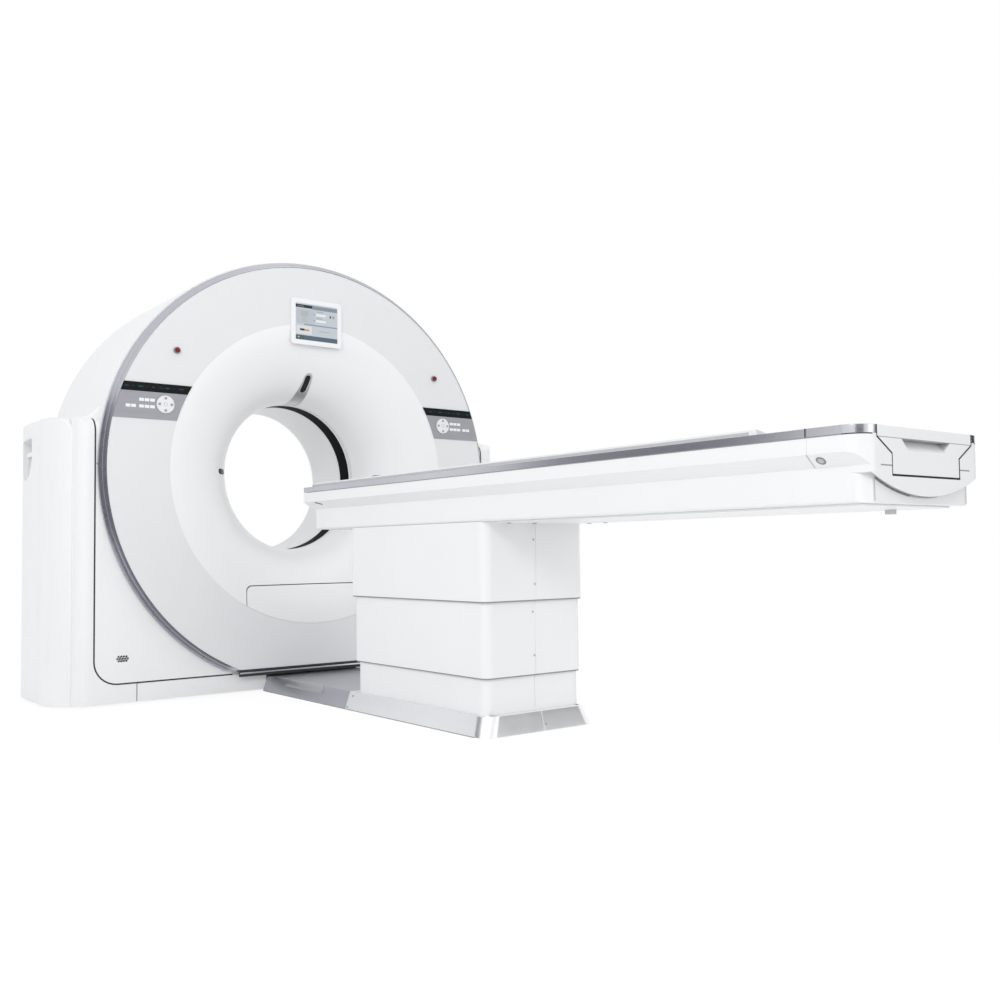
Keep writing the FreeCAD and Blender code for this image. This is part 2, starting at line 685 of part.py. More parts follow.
def seam_groove():
    """Groove that carries the seam's line on up the leg, following its rounded edge."""
    top, rear = LEG_TOP + SHOULDER_ROUND, COVER_PLANE + LEG_ROUND
    line = box(SEAM_X, SEAM_X + PANEL_GAP, COVER_PLANE - EDGE, rear, SEAM_TOP, top)
    return line.cut(gantry_form(GROOVE_DEPTH, rear + EDGE))


def corner_cover():
    """Right front corner cover between the outer seam and the trim ring."""
    skin = arch_skin().common(seam_region(0, SKIN_BACK))
    skin = skin.cut(disc(ring_seat() + FINE_GAP, -EDGE, SKIN_BACK + EDGE))
    tip = math.sqrt(RING_RADIUS**2 - (BORE_HEIGHT - SEAM_BOTTOM) ** 2)
    return solid_of(skin.cut(box(-LEG_HALF_WIDTH, tip, -EDGE, ARCH_REAR, 0, LEG_TOP)))


def speaker_holes():
    """Holes in rows of four, five and four over the speaker, on the left corner cover."""
    holes = []
    for row, count in ((-1, 4), (0, 5), (1, 4)):
        for index in range(count):
            x = -SPEAKER_X + (index - (count - 1) / 2) * SPEAKER_PITCH
            z = SPEAKER_Z + row * SPEAKER_PITCH * math.sqrt(0.75)
            turns = [math.pi / 3 * i for i in range(6)]
            corners = [
                (x + SPEAKER_HOLE * math.cos(t), z + SPEAKER_HOLE * math.sin(t)) for t in turns
            ]
            holes.append(prism(corners, across(COVER_PLANE - EDGE), vec(0, 3 * EDGE, 0)))
    return Part.makeCompound(holes)


def intercom_speaker():
    """Speaker behind the holes: an open square frame with its magnet at the back."""
    start, half, depth = SKIN_BACK, SPEAKER_HALF, SPEAKER_DEPTH
    frame, hollow = (
        box(-SPEAKER_X - h, -SPEAKER_X + h, y0, y1, SPEAKER_Z - h, SPEAKER_Z + h)
        for h, y0, y1 in (
            (half, start, start + depth),
            (half - SPEAKER_HOLE, start - EDGE, start + depth / 2),
        )
    )
    magnet = faceted(MAGNET_RADIUS, -SPEAKER_X, SPEAKER_Z, start + depth, start + 2 * depth)
    return fuse([frame.cut(hollow), magnet])


def kick_strips():
    strip = box(
        KICK_INNER_X,
        KICK_SEAM_X - PANEL_GAP / 2,
        COVER_PLANE,
        SKIN_BACK,
        COVER_BOTTOM,
        SEAM_BOTTOM - PANEL_GAP,
    )
    return both(strip)


# ---- side covers and rear ------------------------------------------------------------
def side_plan(inset):
    """Plan of the right side cover: a flat inner side and a full, bulging outer side."""
    inner = LEG_HALF_WIDTH + FINE_GAP
    front, rear = SIDE_SEAM_DEPTH + inset, REAR_PLANE - inset
    bulge = SIDE_BULGE - inset
    turn = SIDE_SEAM_DEPTH + SIDE_TURN
    return [
        (inner - inset, front),
        (inner + SIDE_LIP - inset / 4, front),
        ((inner + SIDE_NOSE_X - inset, front + SIDE_NOSE_Y), (bulge - SIDE_SWELL, turn)),
        ((bulge, turn + SIDE_CREST), (SIDE_REAR_X - inset, rear)),
        (inner - inset, rear),
    ]


def side_form(inset):
    """Right side cover as a solid block, set in by inset and open towards the leg."""
    low = COVER_BOTTOM if inset == 0 else COVER_BOTTOM - EDGE
    high = LEG_TOP - inset
    block = prism(side_plan(inset), level(low), vec(0, 0, high - low))
    front, rear = SIDE_SEAM_DEPTH + inset, REAR_PLANE - inset
    if inset:
        slope = SIDE_TOP_ROUND * 0.7
        profile = [(front, low - EDGE), (rear, low - EDGE), (rear, high),
                   (front + slope, high), (front, high - slope)]
    else:
        profile = rounded(front, rear, low - EDGE, high, (0, 0, 0, SIDE_TOP_ROUND))
    envelope = prism(profile, along(LEG_HALF_WIDTH - 2 * EDGE), vec(BULGE + 4 * EDGE, 0, 0))
    return block.common(envelope)


def grip_outline(grow):
    radius = (GRIP_REAR - GRIP_FRONT) / 2 + grow
    return rounded(
        GRIP_FRONT - grow, GRIP_REAR + grow, GRIP_BOTTOM - grow, GRIP_TOP + grow,
        (radius - 1, radius - 1, GRIP_CORNER, GRIP_CORNER),
    )


def side_cover():
    """Right side cover shell with the opening for its grip pocket."""
    shell = side_form(0).cut(side_form(COVER_WALL))
    opening = prism(grip_outline(0), along(GRIP_PLANE), vec(BULGE, 0, 0))
    return solid_of(shell.cut(opening))


def grip_pocket():
    """U-shaped pocket in the side cover, with an upright rib and a bar to grip."""
    cup = prism(grip_outline(-FINE_GAP), along(GRIP_PLANE - GRIP_WALL), vec(BULGE, 0, 0))
    cup = cup.common(side_form(FINE_GAP))
    hollow = prism(grip_outline(-GRIP_WALL), along(GRIP_PLANE), vec(BULGE, 0, 0))
    cup = cup.cut(hollow)
    middle, top = (GRIP_FRONT + GRIP_REAR) / 2, GRIP_TOP - GRIP_BAR_DROP
    lip = side_form(2 * GRIP_WALL)
    half = GRIP_RIB / 2
    rib = box(GRIP_PLANE, SIDE_BULGE, middle - half, middle + half, GRIP_BOTTOM, top)
    bar = box(GRIP_PLANE, SIDE_BULGE, GRIP_FRONT, middle, top - GRIP_BAR_HEIGHT, top)
    inside = prism(grip_outline(-GRIP_WALL / 2), along(GRIP_PLANE), vec(BULGE, 0, 0))
    posts = fuse([rib, bar]).common(lip).common(inside)
    return solid_of(fuse([cup, posts]))


def rear_cover():
    """Rear cover with its bevelled edge and the round opening for the tunnel."""
    front = ARCH_REAR + FINE_GAP
    shell = prism(arch_outline(0), across(front), vec(0, REAR_PLANE - front, 0))
    shell = shell.makeChamfer(REAR_BEVEL, rear_edges(shell, REAR_PLANE))
    start = front - EDGE
    room = prism(
        arch_outline(COVER_WALL), across(start), vec(0, REAR_PLANE - COVER_WALL - start, 0)
    )
    opening = disc(REAR_MOUTH_RADIUS + FINE_GAP, front, REAR_PLANE + EDGE)
    return solid_of(shell.cut(room).cut(opening))


def rear_tunnel():
    """Tunnel from the scan window to the rear, flared like a bell at its mouth."""
    centre = (REAR_MOUTH_RADIUS, REAR_FLARE_START)
    reach = (BORE_RADIUS - REAR_MOUTH_RADIUS, REAR_PLANE - REAR_FLARE_START)
    return bell(centre, reach, THROAT_WALL, WINDOW_END + FINE_GAP, REAR_FLARE_STEPS)


def rear_edges(block, rear):
    """Edges round a block's rear face, apart from the one along its foot."""
    found = [e for e in block.Edges if abs(e.BoundBox.YMin - rear) < FINE_GAP]
    return [e for e in found if e.BoundBox.ZMax > COVER_BOTTOM + EDGE]


# ---- controls ---------------------------------------------------------------------------
def panel_band(z0, z1, y0, y1, inner_gap, outer_gap):
    """Right-hand piece of the disc's annulus between two heights."""
    ring = tube(MOUTH_RADIUS + inner_gap, DISC_RADIUS - outer_gap, y0, y1)
    return solid_of(ring.common(box(0, DISC_RADIUS, y0 - EDGE, y1 + EDGE, z0, z1)))


def control_panel():
    """Right control panel on the disc, with the hole for its round pad."""
    plate = panel_band(
        PANEL_BOTTOM, PANEL_TOP - STRIP_HEIGHT, DISC_FACE - PANEL_THICKNESS, DISC_FACE,
        FINE_GAP, FINE_GAP,
    )
    return plate.cut(faceted(PAD_RADIUS + FINE_GAP, PAD_X, PAD_Z, -EDGE, EDGE))


def display_strip():
    bottom = PANEL_TOP - STRIP_HEIGHT + FINE_GAP
    return panel_band(
        bottom, PANEL_TOP, DISC_FACE - PANEL_THICKNESS - FINE_GAP, DISC_FACE, FINE_GAP, FINE_GAP
    )


def keys(side):
    """Membrane keys beside the round pad: three above, then two and three below."""
    front = DISC_FACE - PANEL_THICKNESS - KEY_PROUD
    step = KEY_WIDTH + KEY_GAP
    upper = [(PAD_X + KEY_INNER + i * step, PAD_Z + KEY_ROW) for i in range(3)]
    lower = [(PAD_X + KEY_INNER + i * step, PAD_Z - KEY_ROW) for i in range(3)]
    outer = [(PAD_X + KEY_OUTER + i * step, PAD_Z - KEY_ROW) for i in range(2)]
    return [key(side * x, z, front) for x, z in upper + lower + outer]


def key(x, z, front):
    half_width, half_height = KEY_WIDTH / 2, KEY_HEIGHT / 2
    return box(
        x - half_width, x + half_width, front, front + KEY_PROUD, z - half_height, z + half_height
    )


def round_pad():
    """Four-way pad with an arrow pressed into each quarter, free to sink by its travel."""
    front = DISC_FACE - PANEL_THICKNESS - PAD_PROUD
    pad = faceted(PAD_RADIUS, PAD_X, PAD_Z, front, DISC_FACE - PAD_TRAVEL)
    cuts = []
    for turn in range(4):
        arrow = prism(
            [(ARROW_TIP, 0), (ARROW_BASE, ARROW_HALF), (ARROW_BASE, -ARROW_HALF)],
            lambda a, b: vec(PAD_X + a, front - EDGE, PAD_Z + b),
            vec(0, EDGE + ARROW_DEPTH, 0),
        )
        arrow.rotate(vec(PAD_X, 0, PAD_Z), vec(0, 1, 0), 90 * turn)
        cuts.append(arrow)
    return pad.cut(Part.makeCompound(cuts))


def stem_bar(half, y0, y1):
    """Square bar on the emergency stop's axis."""
    return box(ESTOP_X - half, ESTOP_X + half, y0, y1, ESTOP_Z - half, ESTOP_Z + half)


def estop_collars():
    front = DISC_FACE - ESTOP_COLLAR_THICKNESS
    collar = faceted(ESTOP_COLLAR, ESTOP_X, ESTOP_Z, front, DISC_FACE)
    return both(collar.cut(stem_bar(ESTOP_STEM + FINE_GAP, front - EDGE, DISC_FACE + EDGE)))


def estop():
    """Mushroom button: stepped head and square stem, free to press in by its travel."""
    back = DISC_FACE - ESTOP_COLLAR_THICKNESS - ESTOP_TRAVEL - FINE_GAP
    rim = faceted(ESTOP_RADIUS, ESTOP_X, ESTOP_Z, back - ESTOP_HEAD / 2, back)
    crown = faceted(ESTOP_CROWN, ESTOP_X, ESTOP_Z, back - ESTOP_HEAD, back)
    return fuse([rim, crown, stem_bar(ESTOP_STEM, back, DISC_FACE - ESTOP_TRAVEL)])


def screen_block(inset, y0, y1):
    outline = rounded(
        -SCREEN_HALF_WIDTH + inset,
        SCREEN_HALF_WIDTH - inset,
        SCREEN_BOTTOM + inset,
        SCREEN_TOP - inset,
        (max(SCREEN_ROUND - inset, 2.0),) * 4,
    )
    return prism(outline, across(y0), vec(0, y1 - y0, 0))


def screen_bezel():
    """Housing of the touch screen, flat on the disc, with a recess for the glass."""
    body = screen_block(0, SCREEN_FRONT, DISC_FACE)
    back = SCREEN_FRONT + SCREEN_RECESS
    return body.cut(screen_block(SCREEN_BORDER, SCREEN_FRONT - EDGE, back))


def screen_glass():
    front, back = SCREEN_FRONT + GLASS_SET, SCREEN_FRONT + SCREEN_RECESS
    return screen_block(SCREEN_BORDER + FINE_GAP, front, back)


# ---- gantry inside ------------------------------------------------------------------------
def base_frame():
    """Welded floor frame of two side rails, a front and a rear rail and two cross rails."""
    half = LEG_HALF_WIDTH - COVER_WALL
    frame = box(-half, half, FRAME_FRONT, FRAME_REAR, FRAME_BOTTOM, FRAME_TOP)
    cross_outer = CROSS_INNER + FRAME_RAIL
    inner_x = [(-half + FRAME_RAIL, -cross_outer), (-CROSS_INNER, CROSS_INNER),
               (cross_outer, half - FRAME_RAIL)]
    for x0, x1 in inner_x:
        window = box(
            x0, x1, FRAME_FRONT + FRAME_RAIL, FRAME_REAR - FRAME_RAIL, 0, FRAME_TOP + EDGE
        )
        frame = frame.cut(window)
    return frame


def levelling_feet():
    """Eight-sided feet under the corners of the floor frame."""
    feet = []
    for x in (-1, 1):
        for y in (FRAME_FRONT + FRAME_RAIL / 2, FRAME_REAR - FRAME_RAIL / 2):
            corners = eight_sides(x * (LEG_HALF_WIDTH - FRAME_RAIL), y, FOOT_RADIUS)
            feet.append(prism(corners, level(0), vec(0, 0, FRAME_BOTTOM)))
    return feet


def eight_sides(a, b, radius):
    turns = [math.pi / 4 * i for i in range(8)]
    return [(a + radius * math.cos(t), b + radius * math.sin(t)) for t in turns]


def stator_frame():
    """Upright bearing plate on two splayed pillars, with the rotor's seat in its middle."""
    spread, foot, shoulder = PILLAR_SPREAD, PILLAR_FOOT, STATOR_SHOULDER
    outline = [
        (-spread - foot, FRAME_TOP),
        (-spread + foot, FRAME_TOP),
        (-shoulder / 2, FRAME_TOP + foot),
        (shoulder / 2, FRAME_TOP + foot),
        (spread - foot, FRAME_TOP),
        (spread + foot, FRAME_TOP),
        (STATOR_RADIUS, BORE_HEIGHT),
        (shoulder, BORE_HEIGHT + STATOR_RADIUS),
        (-shoulder, BORE_HEIGHT + STATOR_RADIUS),
        (-STATOR_RADIUS, BORE_HEIGHT),
    ]
    plate = prism(outline, across(STATOR_FRONT), vec(0, STATOR_THICKNESS, 0))
    bore = HUB_RADIUS + HUB_WALL + RUN_GAP
    seat = prism(
        eight_sides(0, BORE_HEIGHT, (bore + SEAT_WALL) / math.cos(math.pi / 8)),
        across(SEAT_FRONT),
        vec(0, STATOR_FRONT - SEAT_FRONT, 0),
    )
    return fuse([plate, seat]).cut(disc(bore, SEAT_FRONT - EDGE, FRAME_REAR))


def rotor_drum():
    """Rotor plate with lightening windows, and the hub that runs in the stator's seat."""
    plate = faceted(ROTOR_RADIUS, 0, BORE_HEIGHT, ROTOR_PLATE_FRONT, ROTOR_PLATE_BACK)
    hub = disc(HUB_RADIUS + HUB_WALL, ROTOR_PLATE_FRONT, HUB_END)
    low, high = HUB_RADIUS + ROTOR_WEB, ROTOR_RADIUS - ROTOR_WEB
    windows = [faceted(HUB_RADIUS, 0, BORE_HEIGHT, ROTOR_PLATE_FRONT - EDGE, HUB_END + EDGE)]
    for angle in (45, 135, 225, 315):
        start, stop = angle - LIGHTENING_HALF_ANGLE, angle + LIGHTENING_HALF_ANGLE
        corners = [polar(low, start), polar(high, start), polar(high, stop), polar(low, stop)]
        windows.append(
            prism(corners, across(ROTOR_PLATE_FRONT - EDGE), vec(0, SEAT_DEPTH, 0))
        )
    return fuse([plate, hub]).cut(Part.makeCompound(windows))


def xray_tube():
    """Tube housing with its cable end towards the front."""
    z, front = BORE_HEIGHT + TUBE_HEIGHT, BEAM_DEPTH - BEAM_HALF
    body = faceted(TUBE_RADIUS, 0, z, front, ROTOR_PLATE_FRONT)
    return fuse([body, faceted(TUBE_END_RADIUS, 0, z, front - TUBE_END_LENGTH, BEAM_DEPTH)])


def collimator():
    """Tapered box between the tube and the scan window, with the fan slot through it."""
    top = BORE_HEIGHT + TUBE_HEIGHT - TUBE_RADIUS - FINE_GAP
    low = top - COLLIMATOR_HEIGHT
    half, wide = COLLIMATOR_TOP_HALF, COLLIMATOR_LOW_HALF
    outline = [(-half, top), (-wide, low), (wide, low), (half, top)]
    depth = BEAM_HALF + COLLIMATOR_FRONT
    body = prism(outline, across(BEAM_DEPTH - COLLIMATOR_FRONT), vec(0, depth, 0))
    half, wide = half - COLLIMATOR_WALL, wide - COLLIMATOR_WALL
    slot = [(-half, top + EDGE), (-wide, low - EDGE), (wide, low - EDGE), (half, top + EDGE)]
    return body.cut(prism(slot, across(BEAM_DEPTH - FAN_SLOT / 2), vec(0, FAN_SLOT, 0)))


def detector_arc():
    return sector(
        DETECTOR_RADIUS,
        DETECTOR_RADIUS + DETECTOR_THICKNESS,
        -90,
        DETECTOR_HALF_ANGLE,
        BEAM_DEPTH - BEAM_HALF,
        ROTOR_PLATE_FRONT,
    )


def power_units():
    """High-voltage unit and heat exchanger, opposite each other on the rotor."""
    front, inner = BEAM_DEPTH - BEAM_HALF / 2, BORE_RADIUS + SWING
    return [
        sector(inner, POWER_OUTER, angle, POWER_HALF_ANGLE, front, ROTOR_PLATE_FRONT)
        for angle in (0, 180)
    ]


# ---- table --------------------------------------------------------------------------------
def table_plan(half, foot, head, corner):
    """Level outline with rounded corners at the foot end and a square head end."""
    return rounded(-half, half, foot, head, (corner, corner, 0, 0))


def shell_profile(inset):
    """Right half section of the side shell's outside, with its chamfered groove."""
    half = TABLE_HALF_WIDTH - inset
    return [
        (0, RAIL_BOTTOM),
        (half, RAIL_BOTTOM),
        (half, GROOVE_TOP + inset / 2),
        (TRAY_HALF_WIDTH + FINE_GAP - inset, GROOVE_BOTTOM),
        (0, GROOVE_BOTTOM),
    ]


def side_shell():
    """Right side shell, closed at the head end by a low nose with a rounded lower edge."""
    length = TABLE_HEAD - CAP_JOINT
    form = prism(shell_profile(0), across(CAP_JOINT), vec(0, length, 0))
    nose = rounded(
        CAP_JOINT - EDGE, TABLE_HEAD, GROOVE_BOTTOM, RAIL_BOTTOM + EDGE, (0, HEAD_ROUND, 0, 0)
    )
    form = form.common(prism(nose, along(-EDGE), vec(TABLE_HALF_WIDTH + 2 * EDGE, 0, 0)))
    wall, foot = TABLE_HALF_WIDTH - SHELL_WALL, TRAY_HALF_WIDTH + FINE_GAP - SHELL_WALL
    hollow = prism(
        [(-EDGE, RAIL_BOTTOM + EDGE), (wall, RAIL_BOTTOM + EDGE),
         (wall, GROOVE_TOP + SHELL_WALL / 2), (foot, GROOVE_BOTTOM + SHELL_WALL / 2),
         (foot, GROOVE_BOTTOM - EDGE), (-EDGE, GROOVE_BOTTOM - EDGE)],
        across(CAP_JOINT - EDGE),
        vec(0, length + EDGE - 2 * HEAD_ROUND, 0),
    )
    form = form.cut(hollow)
    keel_top = CRADLE_TOP - CRADLE_DISH - CRADLE_KEEL_DEPTH
    passage = box(-EDGE, CRADLE_HALF_WIDTH, CAP_JOINT, 0, keel_top, RAIL_TOP)
    form = form.cut(passage)
    return solid_of(form.cut(box(-2 * EDGE, FINE_GAP / 2, TABLE_FOOT, 0, 0, RAIL_TOP)))


def tray_block(inset, top):
    """Tray body: rounded foot corners and rounded lower long edges, set in by inset."""
    half, low = TRAY_HALF_WIDTH - inset, TRAY_BOTTOM + inset
    plan = prism(
        table_plan(half, TRAY_FOOT + inset, TRAY_HEAD - inset, TRAY_ROUND - inset),
        level(low),
        vec(0, 0, top - low),
    )
    section = rounded(-half, half, low, top, (TRAY_EDGE_ROUND, TRAY_EDGE_ROUND, 0, 0))
    bar = prism(section, across(TRAY_FOOT - EDGE), vec(0, TRAY_HEAD - TRAY_FOOT + EDGE, 0))
    return plan.common(bar)


def lower_tray():
    """Open tray that carries the frame, notched at its foot for the handle block."""
    tray = tray_block(0, GROOVE_BOTTOM).cut(tray_block(SHELL_WALL, GROOVE_BOTTOM + EDGE))
    return tray.cut(handle_passage())


def handle_passage():
    """Room for the handle block through the foot end of the housing."""
    start = TABLE_FOOT - EDGE
    return prism(handle_section(PANEL_GAP), across(start), vec(0, CAP_JOINT - start, 0))


def smile():
    """Outline of what lies above the foot cap's curved lower lip."""
    side = TABLE_HALF_WIDTH + EDGE
    return [
        (-side, SMILE_SIDE),
        ((0, SMILE_BOTTOM), (side, SMILE_SIDE)),
        (side, RAIL_BOTTOM),
        (-side, RAIL_BOTTOM),
    ]


def handle_section(grow):
    """Section of the cradle's handle block: a wide band over a tapered neck."""
    band, neck = HANDLE_TOP_HALF_WIDTH + grow, HANDLE_NECK_HALF_WIDTH + grow
    return [
        (-neck, HANDLE_BOTTOM - grow),
        (neck, HANDLE_BOTTOM - grow),
        (neck, HANDLE_NECK_TOP - grow / 2),
        (band, HANDLE_BAND_BOTTOM - grow / 2),
        (band, RAIL_TOP),
        (-band, RAIL_TOP),
        (-band, HANDLE_BAND_BOTTOM - grow / 2),
        (-neck, HANDLE_NECK_TOP - grow / 2),
    ]


def foot_cap():
    """Foot end of the table housing, with its curved lip and the opening for the handle."""
    forms = []
    lip = prism(smile(), across(TABLE_FOOT - EDGE), vec(0, CAP_LENGTH + EDGE, 0))
    for inset in (0, SHELL_WALL):
        length = CAP_LENGTH - inset - FINE_GAP
        half_section = shell_profile(inset)
        start = TABLE_FOOT + inset
        bar = fuse(both(prism(half_section, across(start), vec(0, length, 0))))
        low = prism(
            [(-TRAY_HALF_WIDTH - FINE_GAP + inset, GROOVE_BOTTOM),
             (-TRAY_HALF_WIDTH - FINE_GAP + inset, SMILE_BOTTOM - EDGE),
             (TRAY_HALF_WIDTH + FINE_GAP - inset, SMILE_BOTTOM - EDGE),
             (TRAY_HALF_WIDTH + FINE_GAP - inset, GROOVE_BOTTOM)],
            across(start),
            vec(0, length, 0),
        )
        forms.append(fuse([bar, low]).common(cap_plan(inset)).common(lip))
    back = box(-TABLE_HALF_WIDTH, TABLE_HALF_WIDTH, TRAY_FOOT - FINE_GAP, 0, 0, RAIL_TOP)
    hollow = fuse([forms[1], forms[1].translated(vec(0, 2 * EDGE, 0))])
    cap = forms[0].cut(hollow)
    cap = cap.cut(tray_block(-FINE_GAP, RAIL_BOTTOM).common(back))
    rails = box(-TABLE_HALF_WIDTH + SHELL_WALL, TABLE_HALF_WIDTH - SHELL_WALL,
                TABLE_FOOT + SHELL_WALL, CAP_JOINT + EDGE, RAIL_BOTTOM - 1, RAIL_TOP)
    return solid_of(cap.cut(handle_passage()).cut(rails))


def cap_plan(inset):
    half = TABLE_HALF_WIDTH - inset
    corner = CORNER_ROUND - inset
    outline = table_plan(half, TABLE_FOOT + inset, CAP_JOINT + EDGE, corner)
    return prism(outline, level(SMILE_BOTTOM - 2 * EDGE), vec(0, 0, RAIL_TOP - SMILE_BOTTOM))


def rail():
    """Right side rail: an angle section with a flange that carries the cradle's edge."""
    half = TABLE_HALF_WIDTH
    section = [
        (half, RAIL_BOTTOM),
        (half, RAIL_TOP),
        (half - RAIL_FLANGE, RAIL_TOP),
        (half - RAIL_FLANGE, RAIL_TOP - RAIL_WALL),
        (half - RAIL_WALL, RAIL_TOP - RAIL_WALL),
        (half - RAIL_WALL, RAIL_BOTTOM),
    ]
    return prism(section, across(RAIL_JOINT), vec(0, TABLE_HEAD - RAIL_JOINT, 0))


def rail_corner():
    """Right rail end, bent round the foot corner up to the handle block."""
    start, stop = TABLE_FOOT, RAIL_JOINT - PANEL_GAP / 2
    outer = table_plan(TABLE_HALF_WIDTH, start, stop, CORNER_ROUND)
    wall = table_plan(
        TABLE_HALF_WIDTH - RAIL_WALL, start + RAIL_WALL, stop + EDGE, CORNER_ROUND - RAIL_WALL
    )
    flange = table_plan(
        TABLE_HALF_WIDTH - RAIL_FLANGE,
        start + RAIL_FLANGE,
        stop + EDGE,
        CORNER_ROUND - RAIL_FLANGE,
    )
    band = prism(outer, level(RAIL_BOTTOM), vec(0, 0, RAIL_TOP - RAIL_BOTTOM))
    low, height = RAIL_BOTTOM - EDGE, RAIL_HEIGHT - RAIL_WALL + EDGE
    band = band.cut(prism(wall, level(low), vec(0, 0, height)))
    band = band.cut(prism(flange, level(low), vec(0, 0, RAIL_TOP)))
    middle = box(-TABLE_HALF_WIDTH, RAIL_CORNER_END, start - EDGE, 0, 0, RAIL_TOP * 2)
    return solid_of(band.cut(middle))


def cradle():
    """Dished patient board: thin side wings on the rails and a deep keel between them."""
    wing = RAIL_TOP + CRADLE_GAP
    keel = CRADLE_TOP - CRADLE_DISH - CRADLE_KEEL_DEPTH + KEEL_CLEARANCE
    section = [
        (-CRADLE_HALF_WIDTH, wing),
        (-CRADLE_KEEL_HALF_WIDTH, wing),
        ((0, keel), (CRADLE_KEEL_HALF_WIDTH, wing)),
        (CRADLE_HALF_WIDTH, wing),
        (CRADLE_HALF_WIDTH, CRADLE_TOP),
        (CRADLE_HALF_WIDTH - CRADLE_RIM, CRADLE_TOP),
        ((0, CRADLE_TOP - CRADLE_DISH), (-CRADLE_HALF_WIDTH + CRADLE_RIM, CRADLE_TOP)),
        (-CRADLE_HALF_WIDTH, CRADLE_TOP),
    ]
    board = prism(section, across(CRADLE_FOOT), vec(0, CRADLE_HEAD - CRADLE_FOOT, 0))
    plan = rounded(
        -CRADLE_HALF_WIDTH,
        CRADLE_HALF_WIDTH,
        CRADLE_FOOT,
        CRADLE_HEAD,
        (CRADLE_FOOT_ROUND, CRADLE_FOOT_ROUND, CRADLE_NOSE_ROUND, CRADLE_NOSE_ROUND),
    )
    return board.common(prism(plan, level(GROOVE_BOTTOM), vec(0, 0, CRADLE_TOP)))


def cradle_handle():
    """Handle block at the cradle's foot end, with a scooped hand grip in its front."""
    block = prism(handle_section(0), across(TABLE_FOOT), vec(0, HANDLE_LENGTH - FINE_GAP, 0))
    top = HANDLE_BAND_BOTTOM - FINE_GAP
    scoop = [
        (TABLE_FOOT - 1.0, top),
        (TABLE_FOOT + SCOOP_DEPTH, top),
        (TABLE_FOOT - 1.0, SCOOP_BOTTOM),
    ]
    grip = prism(scoop, along(-SCOOP_TOP_HALF), vec(2 * SCOOP_TOP_HALF, 0, 0))
    face = [
        (-SCOOP_BOTTOM_HALF, SCOOP_BOTTOM),
        (SCOOP_BOTTOM_HALF, SCOOP_BOTTOM),
        (SCOOP_TOP_HALF, HANDLE_BAND_BOTTOM),
        (-SCOOP_TOP_HALF, HANDLE_BAND_BOTTOM),
    ]
    grip = grip.common(prism(face, across(TABLE_FOOT - EDGE), vec(0, 2 * SCOOP_DEPTH, 0)))
    return solid_of(block.cut(grip))


def table_frame():
    """Two long box beams joined by cross plates, inside the tray."""
    low = TRAY_BOTTOM + SHELL_WALL
    foot, head = TRAY_FOOT + BEAM_END_SET, TRAY_HEAD - TRAY_ROUND
    beam = box(BEAM_OUTER_X - BEAM_WIDTH, BEAM_OUTER_X, foot, head, low, BEAM_TOP)
    bore = box(
        BEAM_OUTER_X - BEAM_WIDTH + BEAM_WALL,
        BEAM_OUTER_X - BEAM_WALL,
        foot - EDGE,
        head + EDGE,
        low + BEAM_WALL,
        BEAM_TOP - BEAM_WALL,
    )
    parts = both(beam.cut(bore))
    inner = BEAM_OUTER_X - BEAM_WIDTH
    for index in range(CROSS_COUNT):
        y = foot + (head - foot) * (index + 0.5) / CROSS_COUNT
        parts.append(box(-inner, inner, y - CROSS_LENGTH / 2, y + CROSS_LENGTH / 2, low, CROSS_TOP))
    return fuse(parts)


def underside_pan():
    """Shallow pan under the tray, from the pedestal to the foot end."""
    top = TRAY_BOTTOM - FINE_GAP / 2
    return box(
        -UNDERSIDE_HALF_WIDTH,
        UNDERSIDE_HALF_WIDTH,
        TRAY_FOOT + TRAY_ROUND,
        PEDESTAL_FOOT - TRAY_ROUND,
        top - UNDERSIDE_THICKNESS,
        top,
    )


# ---- pedestal -----------------------------------------------------------------------------
def stage_plan(stage, inset):
    """Outline of a telescoping stage: 0 upper, 1 middle, 2 lower."""
    half = PEDESTAL_HALF_WIDTH - stage * STAGE_STEP - inset
    foot = PEDESTAL_FOOT + stage * STAGE_STEP_FOOT + inset
    head = PEDESTAL_HEAD - stage * STAGE_STEP_HEAD - inset
    return rounded(-half, half, foot, head, (PEDESTAL_ROUND - inset,) * 4)


def stage_covers(stage, z0, z1):
    """Two half shells that meet at the middle plane."""
    shell = prism(stage_plan(stage, 0), level(z0), vec(0, 0, z1 - z0))
    hollow = prism(stage_plan(stage, STAGE_WALL), level(z0 - EDGE), vec(0, 0, z1 - z0 + 2 * EDGE))
    shell = shell.cut(hollow)
    half = box(
        HALF_SEAM / 2, PEDESTAL_HALF_WIDTH + EDGE, 2 * PEDESTAL_FOOT, 0, z0 - EDGE, z1 + EDGE
    )
    return both(solid_of(shell.common(half)))


def column(stage, z0, z1):
    """Square tube of the lift column: 0 outer, 1 middle, 2 inner."""
    half = COLUMN_OUTER_HALF - stage * (COLUMN_WALL + COLUMN_GAP)
    inner = half - COLUMN_WALL
    outer = box(-half, half, COLUMN_Y - half, COLUMN_Y + half, z0, z1)
    return outer.cut(
        box(-inner, inner, COLUMN_Y - inner, COLUMN_Y + inner, z0 - EDGE, z1 + EDGE)
    )


def lift_column_middle():
    """Middle column with the flange that carries the middle covers."""
    tube_part = column(1, MIDDLE_BOTTOM, MIDDLE_TOP)
    half = COLUMN_OUTER_HALF - COLUMN_WALL - COLUMN_GAP
    flange = prism(
        stage_plan(1, STAGE_WALL), level(MIDDLE_TOP - EDGE), vec(0, 0, EDGE - FINE_GAP)
    )
    flange = flange.cut(
        box(-half, half, COLUMN_Y - half, COLUMN_Y + half, 0, MIDDLE_TOP + EDGE)
    )
    return fuse([tube_part, flange])


